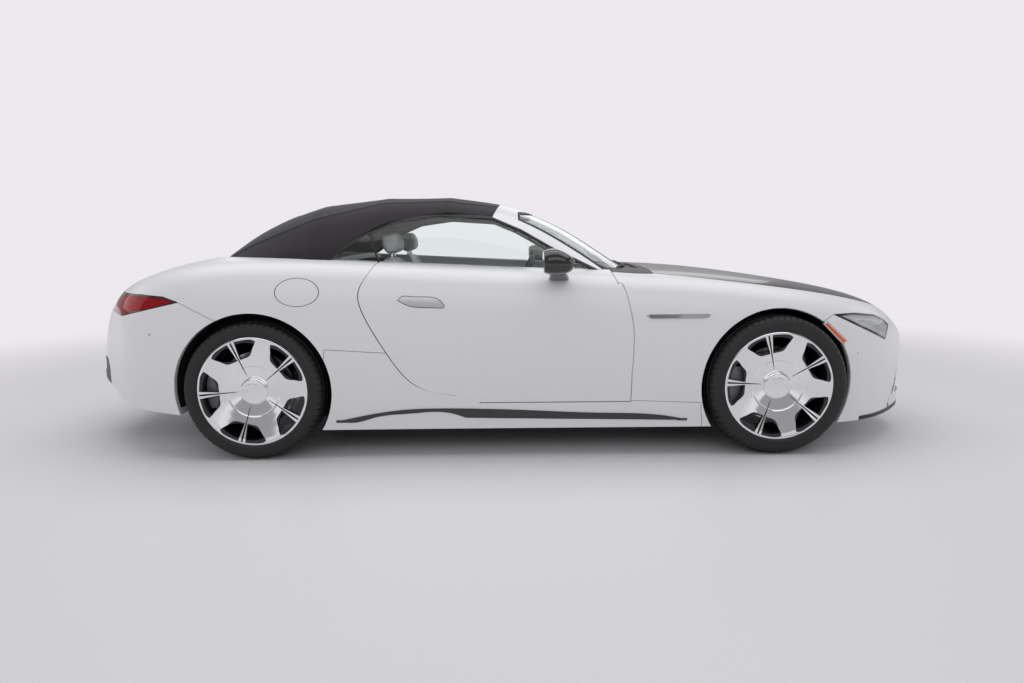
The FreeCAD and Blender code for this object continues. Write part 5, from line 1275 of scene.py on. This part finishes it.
for number, z in enumerate((0.7355, 0.729, 0.7225)):
    for side_name, way in SIDES:
        louvre = []
        for x in np.linspace(0.742, 0.905 - 0.01 * number, 9):
            point, normal = nearest_on(bodywork, (x, -0.93, z))
            louvre.append((x, (point[1] + normal[1] * 0.005) * -way, z))
        radii = np.linspace(0.0019, 0.0012, 9)
        tube("vent_louvre_%d_%s" % (number, side_name), louvre, radii, seal_rubber_and_gap_shade, 8)


def ring_piece(name, profile, count, centre, material, slot=None):
    """A profile turned about an axis along the car, at a centre."""
    points, faces = turned_rings(profile, np.arange(count) / count * TURN)
    return make_object(name, points[:, [1, 0, 2]] + centre, faces, material, "root", slot)


TIP_PROFILE = (
    (0.031, 0.02), (0.0312, -0.008), (0.033, -0.0105), (0.037, -0.0105), (0.0392, -0.008), (0.0392, 0.02),
)
for side_name, way in SIDES:
    ring_piece("exhaust_ring_" + side_name, TIP_PROFILE, 64, (TIP_X, way * TIP_OUT, TIP_Z), chrome)

SENSORS = ((-1.8, -0.92, 0.655), (-2.26, -0.45, 0.56), (1.86, -0.86, 0.52), (2.24, -0.4, 0.55))
unit, faces = rolled(1.0, 1.0, 20, 12)
for number, target in enumerate(SENSORS):
    point, normal = nearest_on(bodywork, target)
    across = np.cross(normal, (0, 0, 1.0))
    across /= np.linalg.norm(across)
    disc = unit[:, :1] * across + unit[:, 1:2] * np.cross(across, normal)
    made = point + 0.0088 * disc + unit[:, 2:] * normal * 0.0012
    for side_name, way in SIDES:
        form("parking_sensor_%d_%s" % (number, side_name), (made, faces), lambda u: u * (1, -way, 1), satin,
             slot="dark_trim")

# Cabin fittings: door cards with armrests, the steering wheel's pad, screens and air vents
def stacked(*columns):
    """Points from their columns."""
    return np.stack(columns, 1)


card = rolled(0.22, 0.22, 48, 36)
for side_name, way in SIDES:
    form("door_card_" + side_name, card, lambda u: stacked(
        -0.1 + u[:, 0] * 0.32, way * (0.7 - u[:, 2] * 0.0055 - 0.004 * np.clip(u[:, 1], 0, 1)),
        0.61 + u[:, 1] * 0.25), leather, "door_" + side_name)
    form("door_armrest_" + side_name, card, lambda u: stacked(
        -0.12 + u[:, 0] * 0.24, way * (0.676 - u[:, 2] * 0.022), 0.64 + u[:, 1] * 0.028 + 0.02 * u[:, 0]),
        cabin_trim, "door_" + side_name)
lean = math.radians(25)
pad_axes = np.array([(math.sin(lean) * 0.052, 0, math.cos(lean) * 0.052), (0, 0.064, 0),
                     (-math.cos(lean) * 0.012, 0, math.sin(lean) * 0.012)])
pad_centre = np.array((0.13, 0.37, 0.85)) + pad_axes[2] * 2 / 3
pad = rolled(0.5, 0.45, 48, 32)
form("steering_pad", pad, lambda u: pad_centre + u @ pad_axes, cabin_trim, "steering_wheel")
screen = rolled(0.22, 0.3, 48, 32)
form("instrument_screen", screen, lambda u: stacked(
    0.335 + u[:, 2] * 0.008 + u[:, 0] * 0.018, 0.37 + u[:, 1] * 0.15, 0.956 + u[:, 0] * 0.046), black_gloss)
form("centre_screen", screen, lambda u: stacked(
    0.305 + u[:, 2] * 0.007 + u[:, 0] * 0.035, u[:, 1] * 0.095, 0.918 + u[:, 0] * 0.085), black_gloss)
VENT_PROFILE = (
    (0.006, 0.006), (0.01, 0.009), (0.026, 0.0095), (0.028, 0.004), (0.033, 0.004), (0.035, 0.01),
    (0.04, 0.009), (0.042, -0.01), (0.006, -0.01),
)
for number, y in enumerate((-0.62, -0.12, 0.12, 0.62)):
    ring_piece("air_vent_%d" % number, VENT_PROFILE, 48, (0.262, y, 0.872), satin, "cabin_trim")
